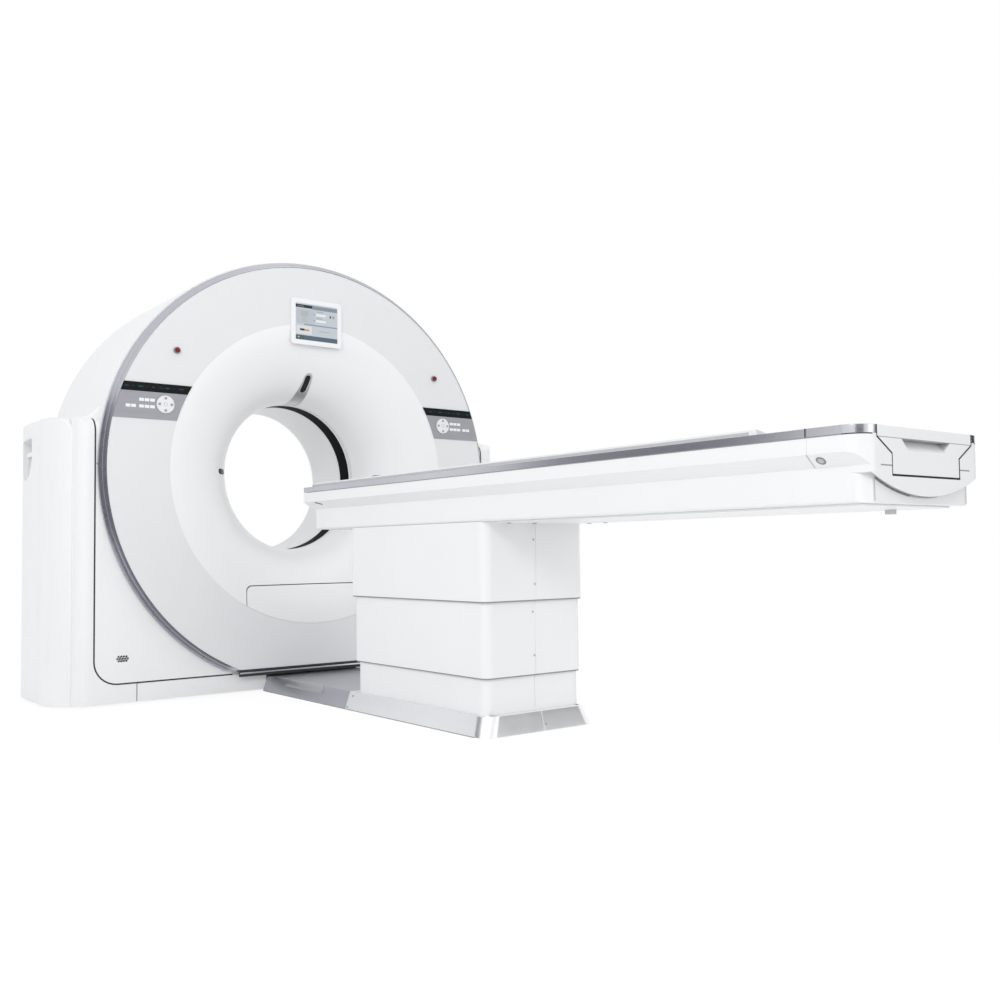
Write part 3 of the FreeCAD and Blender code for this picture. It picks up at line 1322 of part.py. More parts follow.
def base_plan(inset):
    """Outline of the floor tray, from under the gantry to the foot of the pedestal."""
    half, corner = BASE_HALF_WIDTH - inset, BASE_ROUND - inset
    return rounded(
        -half, half, BASE_FOOT + inset, FRAME_FRONT - max(inset, 0.0), (corner, corner, 0, 0)
    )


def base_plate():
    """Open floor tray that carries the lift and joins the table to the gantry."""
    slab = prism(base_plan(0), level(0), vec(0, 0, BASE_TOP))
    return slab.cut(prism(base_plan(BASE_WALL), level(BASE_FLOOR), vec(0, 0, BASE_TOP)))


def skirt_ring():
    """Bevelled skirt that stands round the floor tray and reaches in over its edge."""
    wires = []
    for half, foot, z in (
        (SKIRT_FLOOR_HALF_WIDTH, SKIRT_FLOOR_FOOT, 0),
        (SKIRT_TOP_HALF_WIDTH, SKIRT_TOP_FOOT, SKIRT_TOP),
    ):
        outline = rounded(-half, half, foot, COVER_PLANE - FINE_GAP, (SKIRT_ROUND,) * 2 + (0, 0))
        wires.append(wire(outline, level(z)))
    form = Part.makeLoft(wires, True, True)
    room = prism(base_plan(-FINE_GAP), level(-EDGE), vec(0, 0, BASE_TOP + EDGE + FINE_GAP))
    return form.cut(room)


def skirt_sides():
    """Skirt round the pedestal, in two pieces with a seam in the foot end."""
    opening = prism(stage_plan(2, -FINE_GAP), level(0), vec(0, 0, 2 * SKIRT_TOP))
    shell = skirt_ring().cut(opening)
    wide = 2 * SKIRT_FLOOR_HALF_WIDTH
    gap = HALF_SEAM / 2
    pieces = []
    for x0, x1 in ((-wide, SKIRT_END_SEAM_X - gap), (SKIRT_END_SEAM_X + gap, wide)):
        zone = box(x0, x1, 2 * PEDESTAL_FOOT, SKIRT_JOINT - HALF_SEAM, -EDGE, SKIRT_TOP + EDGE)
        pieces += shell.common(zone).Solids
    return pieces


def skirt_bridge():
    """Tread plate with bevelled sides between the pedestal and the gantry."""
    wide = 2 * SKIRT_FLOOR_HALF_WIDTH
    zone = box(-wide, wide, SKIRT_JOINT, FRAME_FRONT, -EDGE, SKIRT_TOP + EDGE)
    return solid_of(skirt_ring().common(zone))


# ---- writing the nodes -----------------------------------------------------------------------
def solid_of(shape):
    """The largest solid of a boolean result."""
    return max(shape.Solids, key=lambda s: s.Volume)


NODES = {
    "disc_cover": disc_cover,
    "funnel_cover": funnel_cover,
    "access_cover": access_cover,
    "trim_ring": trim_ring,
    "scan_window": scan_window,
    "rear_cover": rear_cover,
    "rear_tunnel": rear_tunnel,
    "arch_shroud": arch_shroud,
    "side_cover_left": lambda: mirrored(side_cover()),
    "side_cover_right": side_cover,
    "grip_pockets": lambda: both(grip_pocket()),
    "corner_cover_left": lambda: mirrored(corner_cover()).cut(speaker_holes()),
    "corner_cover_right": corner_cover,
    "intercom_speaker": intercom_speaker,
    "kick_strips": kick_strips,
    "laser_windows": laser_windows,
    "control_panel_left": lambda: mirrored(control_panel()),
    "control_panel_right": control_panel,
    "display_strips": lambda: both(display_strip()),
    "keypads": lambda: keys(1) + keys(-1),
    "round_pad_left": lambda: mirrored(round_pad()),
    "round_pad_right": round_pad,
    "estop_collars": estop_collars,
    "estop_left": lambda: mirrored(estop()),
    "estop_right": estop,
    "screen_bezel": screen_bezel,
    "screen_glass": screen_glass,
    "base_frame": base_frame,
    "levelling_feet": levelling_feet,
    "stator_frame": stator_frame,
    "rotor_drum": rotor_drum,
    "xray_tube": xray_tube,
    "collimator": collimator,
    "detector_arc": detector_arc,
    "power_units": power_units,
    "base_plate": base_plate,
    "skirt_bridge": skirt_bridge,
    "skirt_sides": skirt_sides,
    "lower_covers": lambda: stage_covers(2, BASE_TOP, LOWER_TOP),
    "middle_covers": lambda: stage_covers(1, MIDDLE_BOTTOM, MIDDLE_TOP),
    "upper_covers": lambda: stage_covers(0, UPPER_BOTTOM, TRAY_BOTTOM - FINE_GAP / 2),
    "lift_column_outer": lambda: column(0, BASE_FLOOR, OUTER_COLUMN_TOP),
    "lift_column_middle": lift_column_middle,
    "lift_column_inner": lambda: column(2, INNER_COLUMN_BOTTOM, TRAY_BOTTOM),
    "lower_tray": lower_tray,
    "table_frame": table_frame,
    "side_shell_left": lambda: mirrored(side_shell()),
    "side_shell_right": side_shell,
    "foot_cap": foot_cap,
    "rail_left": lambda: mirrored(rail()),
    "rail_right": rail,
    "rail_corners": lambda: both(rail_corner()),
    "underside_pan": underside_pan,
    "cradle": cradle,
    "cradle_handle": cradle_handle,
}


def main():
    os.makedirs("parts", exist_ok=True)
    for name, build in NODES.items():
        made = build()
        shape = Part.makeCompound(made) if isinstance(made, list) else made
        shape.exportStep(os.path.join("parts", name + ".step"))
        print(name, len(shape.Solids), round(shape.Volume / 1e6, 3), shape.isValid())


main()
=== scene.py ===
"""Looks of a CT scanner, a round gantry with its patient table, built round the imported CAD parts."""

import logging
import math
from dataclasses import dataclass, replace
from enum import Enum
from typing import Callable, Iterable, Sequence

import bpy
from mathutils import Matrix, Vector


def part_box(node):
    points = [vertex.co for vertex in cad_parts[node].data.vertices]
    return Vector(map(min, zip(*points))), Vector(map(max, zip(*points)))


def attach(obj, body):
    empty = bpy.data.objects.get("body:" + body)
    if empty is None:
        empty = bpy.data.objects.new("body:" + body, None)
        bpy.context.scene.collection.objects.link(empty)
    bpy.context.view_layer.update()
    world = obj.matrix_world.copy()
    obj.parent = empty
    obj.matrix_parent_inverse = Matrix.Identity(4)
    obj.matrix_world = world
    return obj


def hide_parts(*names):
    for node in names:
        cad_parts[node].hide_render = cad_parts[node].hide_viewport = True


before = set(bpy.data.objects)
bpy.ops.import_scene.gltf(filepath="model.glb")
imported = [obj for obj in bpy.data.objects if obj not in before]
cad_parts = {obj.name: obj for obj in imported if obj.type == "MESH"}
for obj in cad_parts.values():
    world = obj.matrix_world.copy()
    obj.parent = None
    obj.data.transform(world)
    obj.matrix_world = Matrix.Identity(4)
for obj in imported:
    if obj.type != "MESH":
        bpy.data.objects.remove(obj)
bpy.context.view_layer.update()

LOG = logging.getLogger("scanner")
BORE_Z = 0.985                  # height of the bore's axis
COVER_Y = 0.045                 # front plane of the corner covers
Point = tuple[float, float, float]
Piece = bpy.types.Object
Socket = bpy.types.NodeSocket
Colour = tuple[float, float, float]

COAT_ROUGHNESS = 0.15           # clear coat of the sprayed covers
MARK_SOFT = 0.0005              # soft edge of a painted mark, in metres
FLICKER_SCALE = 900.0           # grain of a lit display
DISPLAY_BLACK = (0.006, 0.006, 0.007, 1.0)
BAR_EDGE = 0.0004               # chamfer of a small bar
NEAR = 1e-4                     # how near a point counts as lying on a level


class Side(Enum):
    """Which half of the machine a piece belongs to, facing the gantry."""

    LEFT = -1
    RIGHT = 1

    @property
    def tag(self) -> str:
        """The side's word in the names of pieces."""
        return self.name.lower()


class Axis(Enum):
    """Direction that selected edges run along."""

    X = 0
    Y = 1
    Z = 2


# ---- finishes ---------------------------------------------------------------------------


@dataclass(frozen=True)
class Patch:
    """A coloured upright rectangle: shares of a display's size, or metres on a finish."""

    left: float
    right: float
    low: float
    high: float
    colour: Colour


class Wiring:
    """Short ways to add nodes to one node tree and to link them."""

    def __init__(self, tree: bpy.types.NodeTree) -> None:
        """Keeps the tree that the nodes are added to."""
        self.tree = tree

    def join(self, source: object, target: Socket) -> None:
        """Links an output to an input, or sets the input where the source is a plain value.

        Args:
            source: an output socket or a value.
            target: the input socket.
        """
        if isinstance(source, Socket):
            self.tree.links.new(source, target)
        else:
            target.default_value = source

    def feed(self, made: bpy.types.Node, inputs: dict[str, object]) -> bpy.types.Node:
        """Joins inputs of a node to their sockets or values.

        Args:
            made: the node.
            inputs: a socket or value by input, underscores standing for spaces.

        Returns:
            The same node.
        """
        for name, source in inputs.items():
            self.join(source, made.inputs[name.replace("_", " ")])
        return made

    def node(self, kind: str, **inputs: object) -> bpy.types.Node:
        """Adds a node.

        Args:
            kind: the node's type, without the word ShaderNode.
            inputs: a socket or value for each input, as feed takes them.

        Returns:
            The new node.
        """
        return self.feed(self.tree.nodes.new("ShaderNode" + kind), inputs)

    def math(self, operation: str, *sources: object, clamp: bool = False) -> Socket:
        """Adds a math node.

        Args:
            operation: what it does.
            sources: a socket or value for each of its inputs.
            clamp: keeps its result between 0 and 1.

        Returns:
            Its output.
        """
        made = self.node("Math")
        made.operation, made.use_clamp = operation, clamp
        for source, target in zip(sources, made.inputs):
            self.join(source, target)
        return made.outputs[0]

    def blend(self, share: object, first: object, second: object) -> Socket:
        """Adds a node that blends two colours.

        Args:
            share: share of the second colour.
            first: the first colour.
            second: the second colour.

        Returns:
            The blended colour.
        """
        made = self.node("Mix", Factor=share)
        made.data_type = "RGBA"
        colours = [socket for socket in made.inputs if socket.type == "RGBA"]
        for source, target in zip((first, second), colours):
            self.join(source, target)
        return next(socket for socket in made.outputs if socket.type == "RGBA")

    def shaders(
        self, share: object, first: bpy.types.Node, second: bpy.types.Node
    ) -> Socket:
        """Adds a node that mixes two shaders.

        Args:
            share: share of the second shader.
            first: the first shader's node.
            second: the second shader's node.

        Returns:
            The mixed shader.
        """
        made = self.node("MixShader")
        for source, target in zip((share, first.outputs[0], second.outputs[0]), made.inputs):
            self.join(source, target)
        return made.outputs[0]

    def group(self, tree: bpy.types.NodeTree, **inputs: object) -> bpy.types.Node:
        """Adds a node group.

        Args:
            tree: the group.
            inputs: a socket or value for each input, as feed takes them.

        Returns:
            The new node.
        """
        made = self.node("Group")
        made.node_tree = tree
        return self.feed(made, inputs)

    def patches(
        self, under: Socket, patches: Iterable[Patch], soft: float
    ) -> Socket:
        """Paints upright rectangles over a colour, in metres.

        Args:
            under: the colour under them.
            patches: the rectangles.
            soft: width of their soft edge.

        Returns:
            The painted colour.
        """
        shown = under
        for patch in patches:
            mask = self.group(
                EffectGroups.patch(),
                X=(patch.left + patch.right) / 2,
                Z=(patch.low + patch.high) / 2,
                Half_X=(patch.right - patch.left) / 2,
                Half_Z=(patch.high - patch.low) / 2,
                Soft=soft,
            )
            shown = self.blend(mask.outputs["Mask"], shown, (*patch.colour, 1.0))
        return shown


class EffectGroups:
    """Shader node groups that several finishes share, each built once."""

    _made: dict[str, bpy.types.NodeTree] = {}

    @classmethod
    def start(cls, name: str, inputs: dict[str, str], outputs: dict[str, str]) -> Wiring:
        """Starts a group with its sockets.

        Args:
            name: name of the group.
            inputs: kind of each input, such as Float, by its name.
            outputs: kind of each output by its name.

        Returns:
            The wiring of the new group.
        """
        tree = bpy.data.node_groups.new(name, "ShaderNodeTree")
        for way, sockets in (("INPUT", inputs), ("OUTPUT", outputs)):
            for socket, kind in sockets.items():
                tree.interface.new_socket(socket, in_out=way, socket_type="NodeSocket" + kind)
        cls._made[name] = tree
        return Wiring(tree)

    @classmethod
    def surface(cls) -> bpy.types.NodeTree:
        """Group for the slight unevenness of a moulded, sprayed or brushed surface.

        Returns:
            Node group with a colour and a roughness output.
        """
        if "surface variation" in cls._made:
            return cls._made["surface variation"]
        plain = ("Tone", "Roughness", "Spread", "Scale")
        wiring = cls.start(
            "surface variation",
            {"Base": "Color", **dict.fromkeys(plain, "Float"), "Stretch": "Vector"},
            {"Colour": "Color", "Roughness": "Float"},
        )
        entry = wiring.tree.nodes.new("NodeGroupInput").outputs
        leave = wiring.tree.nodes.new("NodeGroupOutput").inputs
        stretch = wiring.node("VectorMath")
        stretch.operation = "MULTIPLY"
        wiring.join(wiring.node("TexCoord").outputs["Object"], stretch.inputs[0])
        wiring.join(entry["Stretch"], stretch.inputs[1])
        noise = wiring.node("TexNoise", Detail=4.0, Vector=stretch.outputs[0], Scale=entry["Scale"])
        centred = wiring.math("SUBTRACT", noise.outputs["Fac"], 0.5)
        spread = wiring.math("MULTIPLY_ADD", centred, entry["Spread"], entry["Roughness"])
        tone = wiring.math("MULTIPLY_ADD", centred, entry["Tone"], 1.0)
        shade = wiring.node("VectorMath")
        shade.operation = "SCALE"
        wiring.join(entry["Base"], shade.inputs[0])
        wiring.join(tone, shade.inputs["Scale"])
        wiring.join(shade.outputs[0], leave["Colour"])
        wiring.join(spread, leave["Roughness"])
        return wiring.tree

    @classmethod
    def patch(cls) -> bpy.types.NodeTree:
        """Group that masks a soft-edged upright rectangle in the XZ plane.

        Returns:
            Node group with one mask output.
        """
        if "display patch" in cls._made:
            return cls._made["display patch"]
        sockets = dict.fromkeys(("X", "Z", "Half X", "Half Z", "Soft"), "Float")
        wiring = cls.start("display patch", sockets, {"Mask": "Float"})
        entry = wiring.tree.nodes.new("NodeGroupInput").outputs
        leave = wiring.tree.nodes.new("NodeGroupOutput").inputs
        place = wiring.node("TexCoord").outputs["Object"]
        split = wiring.node("SeparateXYZ", Vector=place)
        edges = []
        for axis in ("X", "Z"):
            away = wiring.math("SUBTRACT", split.outputs[axis], entry[axis])
            inside = wiring.math("SUBTRACT", entry["Half " + axis], wiring.math("ABSOLUTE", away))
            edges.append(wiring.math("DIVIDE", inside, entry["Soft"], clamp=True))
        wiring.join(wiring.math("MULTIPLY", *edges), leave["Mask"])
        return wiring.tree


@dataclass(frozen=True)
class Finish:
    """One surface finish: colour, gloss and its slight unevenness."""

    name: str
    base: Colour
    roughness: float = 0.4
    metallic: float = 0.0
    coat: float = 0.0
    tone: float = 0.02
    spread: float = 0.06
    scale: float = 6.0
    stretch: Point = (1.0, 1.0, 1.0)
    specular: float = 0.5
    slot: str = ""
    marks: tuple[Patch, ...] = ()

    def build(self) -> bpy.types.Material:
        """Makes the material, unless it is there already.

        Returns:
            The material.
        """
        title = self.name + " finish"
        found = bpy.data.materials.get(title)
        if found:
            return found
        material = bpy.data.materials.new(title)
        material.use_nodes = True
        material.diffuse_color = (*self.base, 1.0)
        wiring = Wiring(material.node_tree)
        shader = material.node_tree.nodes["Principled BSDF"].inputs
        surface = wiring.group(
            EffectGroups.surface(), Base=(*self.base, 1.0), Tone=self.tone, Roughness=self.roughness,
            Spread=self.spread, Scale=self.scale, Stretch=self.stretch,
        ).outputs
        for name, source in (
            ("Metallic", self.metallic),
            ("Coat Weight", self.coat),
            ("Coat Roughness", COAT_ROUGHNESS),
            ("Specular IOR Level", self.specular),
            ("Base Color", wiring.patches(surface["Colour"], self.marks, MARK_SOFT)),
            ("Roughness", surface["Roughness"]),
        ):
            wiring.join(source, shader[name])
        return material


@dataclass(frozen=True)
class Display:
    """A lit display: a base colour with coloured patches on it."""

    name: str
    base: Colour
    patches: tuple[Patch, ...]
    strength: float = 0.9
    roughness: float = 0.3
    soft: float = 0.0006
    specular: float = 0.2
    grain: float = 0.04

    def build(self, low: Vector, high: Vector) -> bpy.types.Material:
        """Makes the display's material for a glass between two corners.

        Args:
            low: lowest corner of the glass.
            high: highest corner of the glass.

        Returns:
            The material.
        """
        material = bpy.data.materials.new(self.name + " display")
        material.use_nodes = True
        wiring = Wiring(material.node_tree)
        shader = material.node_tree.nodes["Principled BSDF"].inputs
        place = wiring.node("TexCoord").outputs["Object"]
        noise = wiring.node("TexNoise", Scale=FLICKER_SCALE, Vector=place)
        flicker = wiring.blend(self.grain, (*self.base, 1.0), noise.outputs["Color"])
        width, height = high.x - low.x, high.z - low.z
        placed = [
            Patch(
                low.x + width * patch.left, low.x + width * patch.right,
                low.z + height * patch.low, low.z + height * patch.high, patch.colour,
            )
            for patch in self.patches
        ]
        for name, source in (
            ("Roughness", self.roughness),
            ("Base Color", DISPLAY_BLACK),
            ("Emission Strength", self.strength),
            ("Specular IOR Level", self.specular),
            ("Emission Color", wiring.patches(flicker, placed, self.soft)),
        ):
            wiring.join(source, shader[name])
        return material


WHITE = Finish("white cover", (0.87, 0.87, 0.87), 0.38, coat=0.15)
CAP_WHITE = replace(
    WHITE, name="cap white", slot=WHITE.name,
    marks=tuple(Patch(x, x + 0.049, 0.7952, 0.7988, (0.30, 0.30, 0.30)) for x in (-0.196, 0.147)),
)
# White of the handle, with a grey line painted under the band's edge as the band's shadow.
HANDLE_WHITE_BAND_SHADOW = replace(
    WHITE, name="handle white", slot=WHITE.name,
    marks=(Patch(-0.206, 0.206, 0.8595, 0.8622, (0.42, 0.42, 0.42)),),
)
PALE_GREY = Finish("pale grey cover", (0.77, 0.77, 0.775), 0.4, coat=0.1)
SILVER = Finish("satin silver", (0.64, 0.645, 0.69), 0.24, metallic=1.0, scale=30.0,
                stretch=(1.0, 0.06, 1.0), tone=0.06)
# Darker copy of the satin silver for the trim ring: painted shade on the ring.
RING_SILVER_SHADED = replace(SILVER, name="ring silver", base=(0.50, 0.505, 0.55), roughness=0.28,
                      slot=SILVER.name)
# Darker copy of the satin silver for the skirt's bridge: painted shade.
BRIDGE_SILVER_SHADED = replace(RING_SILVER_SHADED, name="bridge silver", base=(0.54, 0.55, 0.59), roughness=0.32,
                       scale=24.0, stretch=(1.0, 0.05, 1.0), tone=0.08)
# Brightened copy of the satin silver for the skirt's sides: painted light.
SKIRT_SILVER_LIT = replace(BRIDGE_SILVER_SHADED, name="skirt silver", base=(0.93, 0.935, 0.95))
# Near-black metal for the disc's sill: painted shade on the silver sill under the disc.
SHADED_SILL_METAL = Finish("dark metal", (0.05, 0.052, 0.065), 0.4, metallic=0.4, specular=0.3,
                    slot="black plastic")
SHADOW_LINE = Finish("shadow line", (0.055, 0.055, 0.055), 0.8, specular=0.1, slot="black plastic")
GREY_LINE = Finish("grey line", (0.30, 0.30, 0.30), 0.7, specular=0.1, slot="black plastic")
PALE_LINE = Finish("pale line", (0.55, 0.55, 0.55), 0.6, specular=0.2, slot="white cover")
DARK_WINDOW = Finish("dark window", (0.004, 0.004, 0.005), 0.55, specular=0.03)
PILL_GLASS = Finish("laser glass", (0.004, 0.004, 0.005), 0.2, specular=0.25, slot="dark window")
LASER_METAL = Finish("laser insert", (0.52, 0.52, 0.53), 0.35, metallic=0.9, tone=0.1, slot="satin silver")
# Near-black finish used for the painted shadow in the gap under the handle's neck.
GAP_SHADOW_BLACK = Finish("black plastic", (0.015, 0.015, 0.016), 0.5, specular=0.3)
SPEAKER_GREY = Finish("speaker grey", (0.09, 0.09, 0.09), 0.6, specular=0.2, slot="black plastic")
PANEL = Finish("panel aluminium", (0.35, 0.35, 0.38), 0.42, metallic=0.35, tone=0.25,
               scale=60.0, stretch=(0.08, 1.0, 1.0), specular=0.35)
KEY = Finish("panel key", (0.86, 0.87, 0.90), 0.45)
PAD = Finish("round pad", (0.80, 0.81, 0.82), 0.35)
PAD_MARK = Finish("pad mark", (0.33, 0.34, 0.36), 0.5, slot="round pad")
RED = Finish("red button", (0.20, 0.010, 0.012), 0.35, specular=0.35)
SCREEN_HOUSING = Finish("screen housing", (0.86, 0.865, 0.87), 0.35)
STEEL = Finish("frame steel", (0.24, 0.25, 0.27), 0.45, tone=0.1)
RUBBER = Finish("rubber foot", (0.02, 0.02, 0.02), 0.75)
ROTOR_METAL = Finish("rotor metal", (0.6, 0.61, 0.63), 0.35, metallic=1.0, tone=0.08)
TUBE_HOUSING = Finish("tube housing", (0.36, 0.38, 0.41), 0.4, tone=0.06)
CRADLE = Finish("cradle shell", (0.86, 0.865, 0.875), 0.35, coat=0.2)

SCREEN_PICTURE = Display(
    "screen picture",
    (0.60, 0.66, 0.71),
    (
        Patch(0.0, 0.40, 0.88, 0.97, (0.03, 0.035, 0.04)),
        Patch(0.04, 0.20, 0.90, 0.94, (0.14, 0.17, 0.15)),
        Patch(0.40, 1.0, 0.86, 0.97, (0.27, 0.31, 0.36)),
        Patch(0.02, 0.44, 0.44, 0.84, (0.55, 0.58, 0.64)),
        Patch(0.12, 0.30, 0.66, 0.80, (0.47, 0.52, 0.50)),
        Patch(0.15, 0.27, 0.48, 0.66, (0.50, 0.56, 0.56)),
        Patch(0.48, 0.72, 0.70, 0.76, (0.90, 0.93, 0.93)),
        Patch(0.43, 0.46, 0.71, 0.75, (0.25, 0.32, 0.30)),
        Patch(0.48, 0.66, 0.80, 0.83, (0.40, 0.47, 0.44)),
        Patch(0.48, 0.72, 0.53, 0.59, (0.90, 0.93, 0.93)),
        Patch(0.43, 0.46, 0.54, 0.58, (0.25, 0.32, 0.30)),
        Patch(0.48, 0.64, 0.62, 0.65, (0.40, 0.42, 0.48)),
        Patch(0.81, 0.85, 0.68, 0.76, (0.12, 0.15, 0.15)),
        Patch(0.88, 0.93, 0.68, 0.76, (0.30, 0.38, 0.42)),
        Patch(0.20, 1.0, 0.41, 0.45, (0.30, 0.36, 0.43)),
        Patch(0.02, 0.38, 0.16, 0.39, (0.78, 0.79, 0.80)),
        Patch(0.10, 0.21, 0.25, 0.31, (0.05, 0.05, 0.06)),
        Patch(0.21, 0.32, 0.25, 0.30, (0.55, 0.33, 0.14)),
        Patch(0.55, 0.80, 0.27, 0.29, (0.38, 0.41, 0.44)),
        Patch(0.0, 1.0, 0.0, 0.13, (0.10, 0.15, 0.20)),
        Patch(0.0, 0.20, 0.0, 0.13, (0.09, 0.13, 0.11)),
        Patch(0.05, 0.09, 0.05, 0.09, (0.50, 0.60, 0.55)),
    ),
)


# ---- modelling -----------------------------------------------------------------------------


class Workshop:
    """The hand operations that the sub-assemblies are modelled with."""

    @staticmethod
    def clear() -> None:
        """Deselects everything."""
        if bpy.context.object and bpy.context.object.mode != "OBJECT":
            bpy.ops.object.mode_set(mode="OBJECT")
        bpy.ops.object.select_all(action="DESELECT")

    @staticmethod
    def named(name: str) -> Piece:
        """Names the new primitive and puts its place into its mesh.

        Args:
            name: its name.

        Returns:
            The primitive.
        """
        made = bpy.context.object
        made.name = made.data.name = name
        bpy.ops.object.transform_apply(location=True, rotation=True, scale=True)
        return made

    @staticmethod
    def pick(piece: Piece) -> None:
        """Selects one piece alone and makes it active.

        Args:
            piece: the piece.
        """
        Workshop.clear()
        piece.select_set(True)
        bpy.context.view_layer.objects.active = piece

    @staticmethod
    def block(name: str, low: Point, high: Point) -> Piece:
        """Upright block between two corners.

        Args:
            name: name of the piece.
            low: its lowest corner.
            high: its highest corner.

        Returns:
            The new piece.
        """
        Workshop.clear()
        centre = [(a + b) / 2 for a, b in zip(low, high)]
        bpy.ops.mesh.primitive_cube_add(size=1.0, location=centre)
        bpy.context.object.scale = [b - a for a, b in zip(low, high)]
        return Workshop.named(name)

    @staticmethod
    def choose(
        piece: Piece, kind: str, wanted: Callable[[bpy.types.bpy_struct], bool]
    ) -> None:
        """Enters edit mode with the wanted elements of a piece selected.

        Args:
            piece: the piece to edit.
            kind: VERT, EDGE or FACE.
            wanted: test on an element.
        """
        Workshop.pick(piece)
        bpy.ops.object.mode_set(mode="EDIT")
        bpy.ops.mesh.select_mode(type=kind)
        bpy.ops.mesh.select_all(action="DESELECT")
        bpy.ops.object.mode_set(mode="OBJECT")
        mesh = piece.data
        for element in {"VERT": mesh.vertices, "EDGE": mesh.edges, "FACE": mesh.polygons}[kind]:
            element.select = wanted(element)
        bpy.ops.object.mode_set(mode="EDIT")

    @staticmethod
    def widen(piece: Piece, level: float, ratio: float) -> None:
        """Widens a piece about the middle plane where it reaches a level.

        Args:
            piece: the piece to shape.
            level: height of the points that move.
            ratio: how many times wider they get.
        """
        Workshop.choose(piece, "VERT", lambda vertex: abs(vertex.co.z - level) < 1e-5)
        bpy.ops.transform.resize(value=(ratio, 1.0, 1.0), center_override=(0.0, 0.0, level))
        bpy.ops.object.mode_set(mode="OBJECT")

    @staticmethod
    def round_edges(
        piece: Piece,
        radius: float,
        segments: int,
        chosen: Callable[[Vector, Vector], bool],
    ) -> Piece:
        """Bevels the edges whose two ends satisfy a test.

        Args:
            piece: the piece to shape.
            radius: width of the rounding.
            segments: how many facets it has.
            chosen: test on an edge's two ends.

        Returns:
            The same piece.
        """
        points = piece.data.vertices
        Workshop.choose(
            piece, "EDGE", lambda edge: chosen(*(points[index].co for index in edge.vertices))
        )
        bpy.ops.mesh.bevel(offset=radius, segments=segments, profile=0.5, affect="EDGES")
        bpy.ops.object.mode_set(mode="OBJECT")
        return piece

    @staticmethod
    def along(axis: Axis) -> Callable[[Vector, Vector], bool]:
        """Test for edges that run along an axis."""
        return lambda a, b: abs((b - a).normalized()[axis.value]) > 0.99

    @staticmethod
    def turned(
        name: str, outline: Sequence[tuple[float, float]], centre: Point, steps: int = 192,
        closed: bool = True,
    ) -> Piece:
        """Solid of revolution about an axis along Y, extruded ring by ring.

        Args:
            name: name of the piece.
            outline: pairs of radius and depth, from the first ring to the last.
            centre: a point of the axis.
            steps: facets round the axis.
            closed: joins the last ring to the first; otherwise both ends are capped.

        Returns:
            The new piece.
        """
        Workshop.clear()
        radius, depth = outline[0]
        bpy.ops.mesh.primitive_circle_add(
            vertices=steps, radius=radius, location=(centre[0], depth, centre[2]),
            rotation=(math.pi / 2, 0.0, 0.0),
        )
        piece = Workshop.named(name)
        bpy.ops.object.mode_set(mode="EDIT")
        bpy.ops.mesh.select_mode(type="EDGE")
        bpy.ops.mesh.select_all(action="SELECT")
        if not closed:
            bpy.ops.mesh.edge_face_add()
        last = (radius, depth)
        for now in list(outline[1:]) + ([outline[0]] if closed else []):
            bpy.ops.mesh.extrude_region_move(
                TRANSFORM_OT_translate={"value": (0.0, now[1] - last[1], 0.0)}
            )
            ratio = now[0] / last[0]
            if abs(ratio - 1.0) > 1e-9:
                bpy.ops.transform.resize(
                    value=(ratio, 1.0, ratio), center_override=(centre[0], now[1], centre[2])
                )
            last = now
        bpy.ops.mesh.select_all(action="SELECT")
        bpy.ops.mesh.remove_doubles(threshold=1e-6)
        bpy.ops.mesh.normals_make_consistent(inside=False)
        bpy.ops.object.mode_set(mode="OBJECT")
        return piece

    @staticmethod
    def combine(
        piece: Piece, tools: Iterable[Piece], operation: str
    ) -> Piece:
        """Applies boolean tools to a piece and removes them.

        Args:
            piece: the piece to shape.
            tools: the tools, which are used up.
            operation: DIFFERENCE or INTERSECT.

        Returns:
            The same piece.
        """
        for tool in tools:
            Workshop.pick(piece)
            modifier = piece.modifiers.new("shape", "BOOLEAN")
            modifier.operation, modifier.object, modifier.solver = operation, tool, "EXACT"
            bpy.ops.object.modifier_apply(modifier="shape")
            bpy.data.objects.remove(tool)
        return piece

    @staticmethod
    def bar(name: str, low: Point, high: Point, edge: float = BAR_EDGE) -> Piece:
        """Upright bar between two corners with all its edges taken off."""
        return Workshop.round_edges(Workshop.block(name, low, high), edge, 1, lambda a, b: True)

    @staticmethod
    def stud(
        name: str, foot: Point, ahead: Point, radius: float, length: float, sides: int = 16
    ) -> Piece:
        """Round stud with a stepped head, for a screw, knob or socket.

        Args:
            name: name of the piece.
            foot: centre of its foot.
            ahead: direction in which it stands.
            radius: radius of the foot.
            length: height of the stud.
            sides: facets round it.

        Returns:
            The new piece.
        """
        Workshop.clear()
        way = Vector(ahead).normalized()
        turn = way.to_track_quat("Z", "Y").to_euler()
        bpy.ops.mesh.primitive_cylinder_add(
            vertices=sides, radius=radius, depth=length,
            location=Vector(foot) + way * (length / 2), rotation=turn,
        )
        piece = Workshop.named(name)
        top = Vector(foot) + way * length
        Workshop.choose(piece, "FACE", lambda face: (face.center - top).length < NEAR)
        bpy.ops.mesh.inset(thickness=radius * 0.3, depth=-length * 0.35)
        bpy.ops.object.mode_set(mode="OBJECT")
        return piece

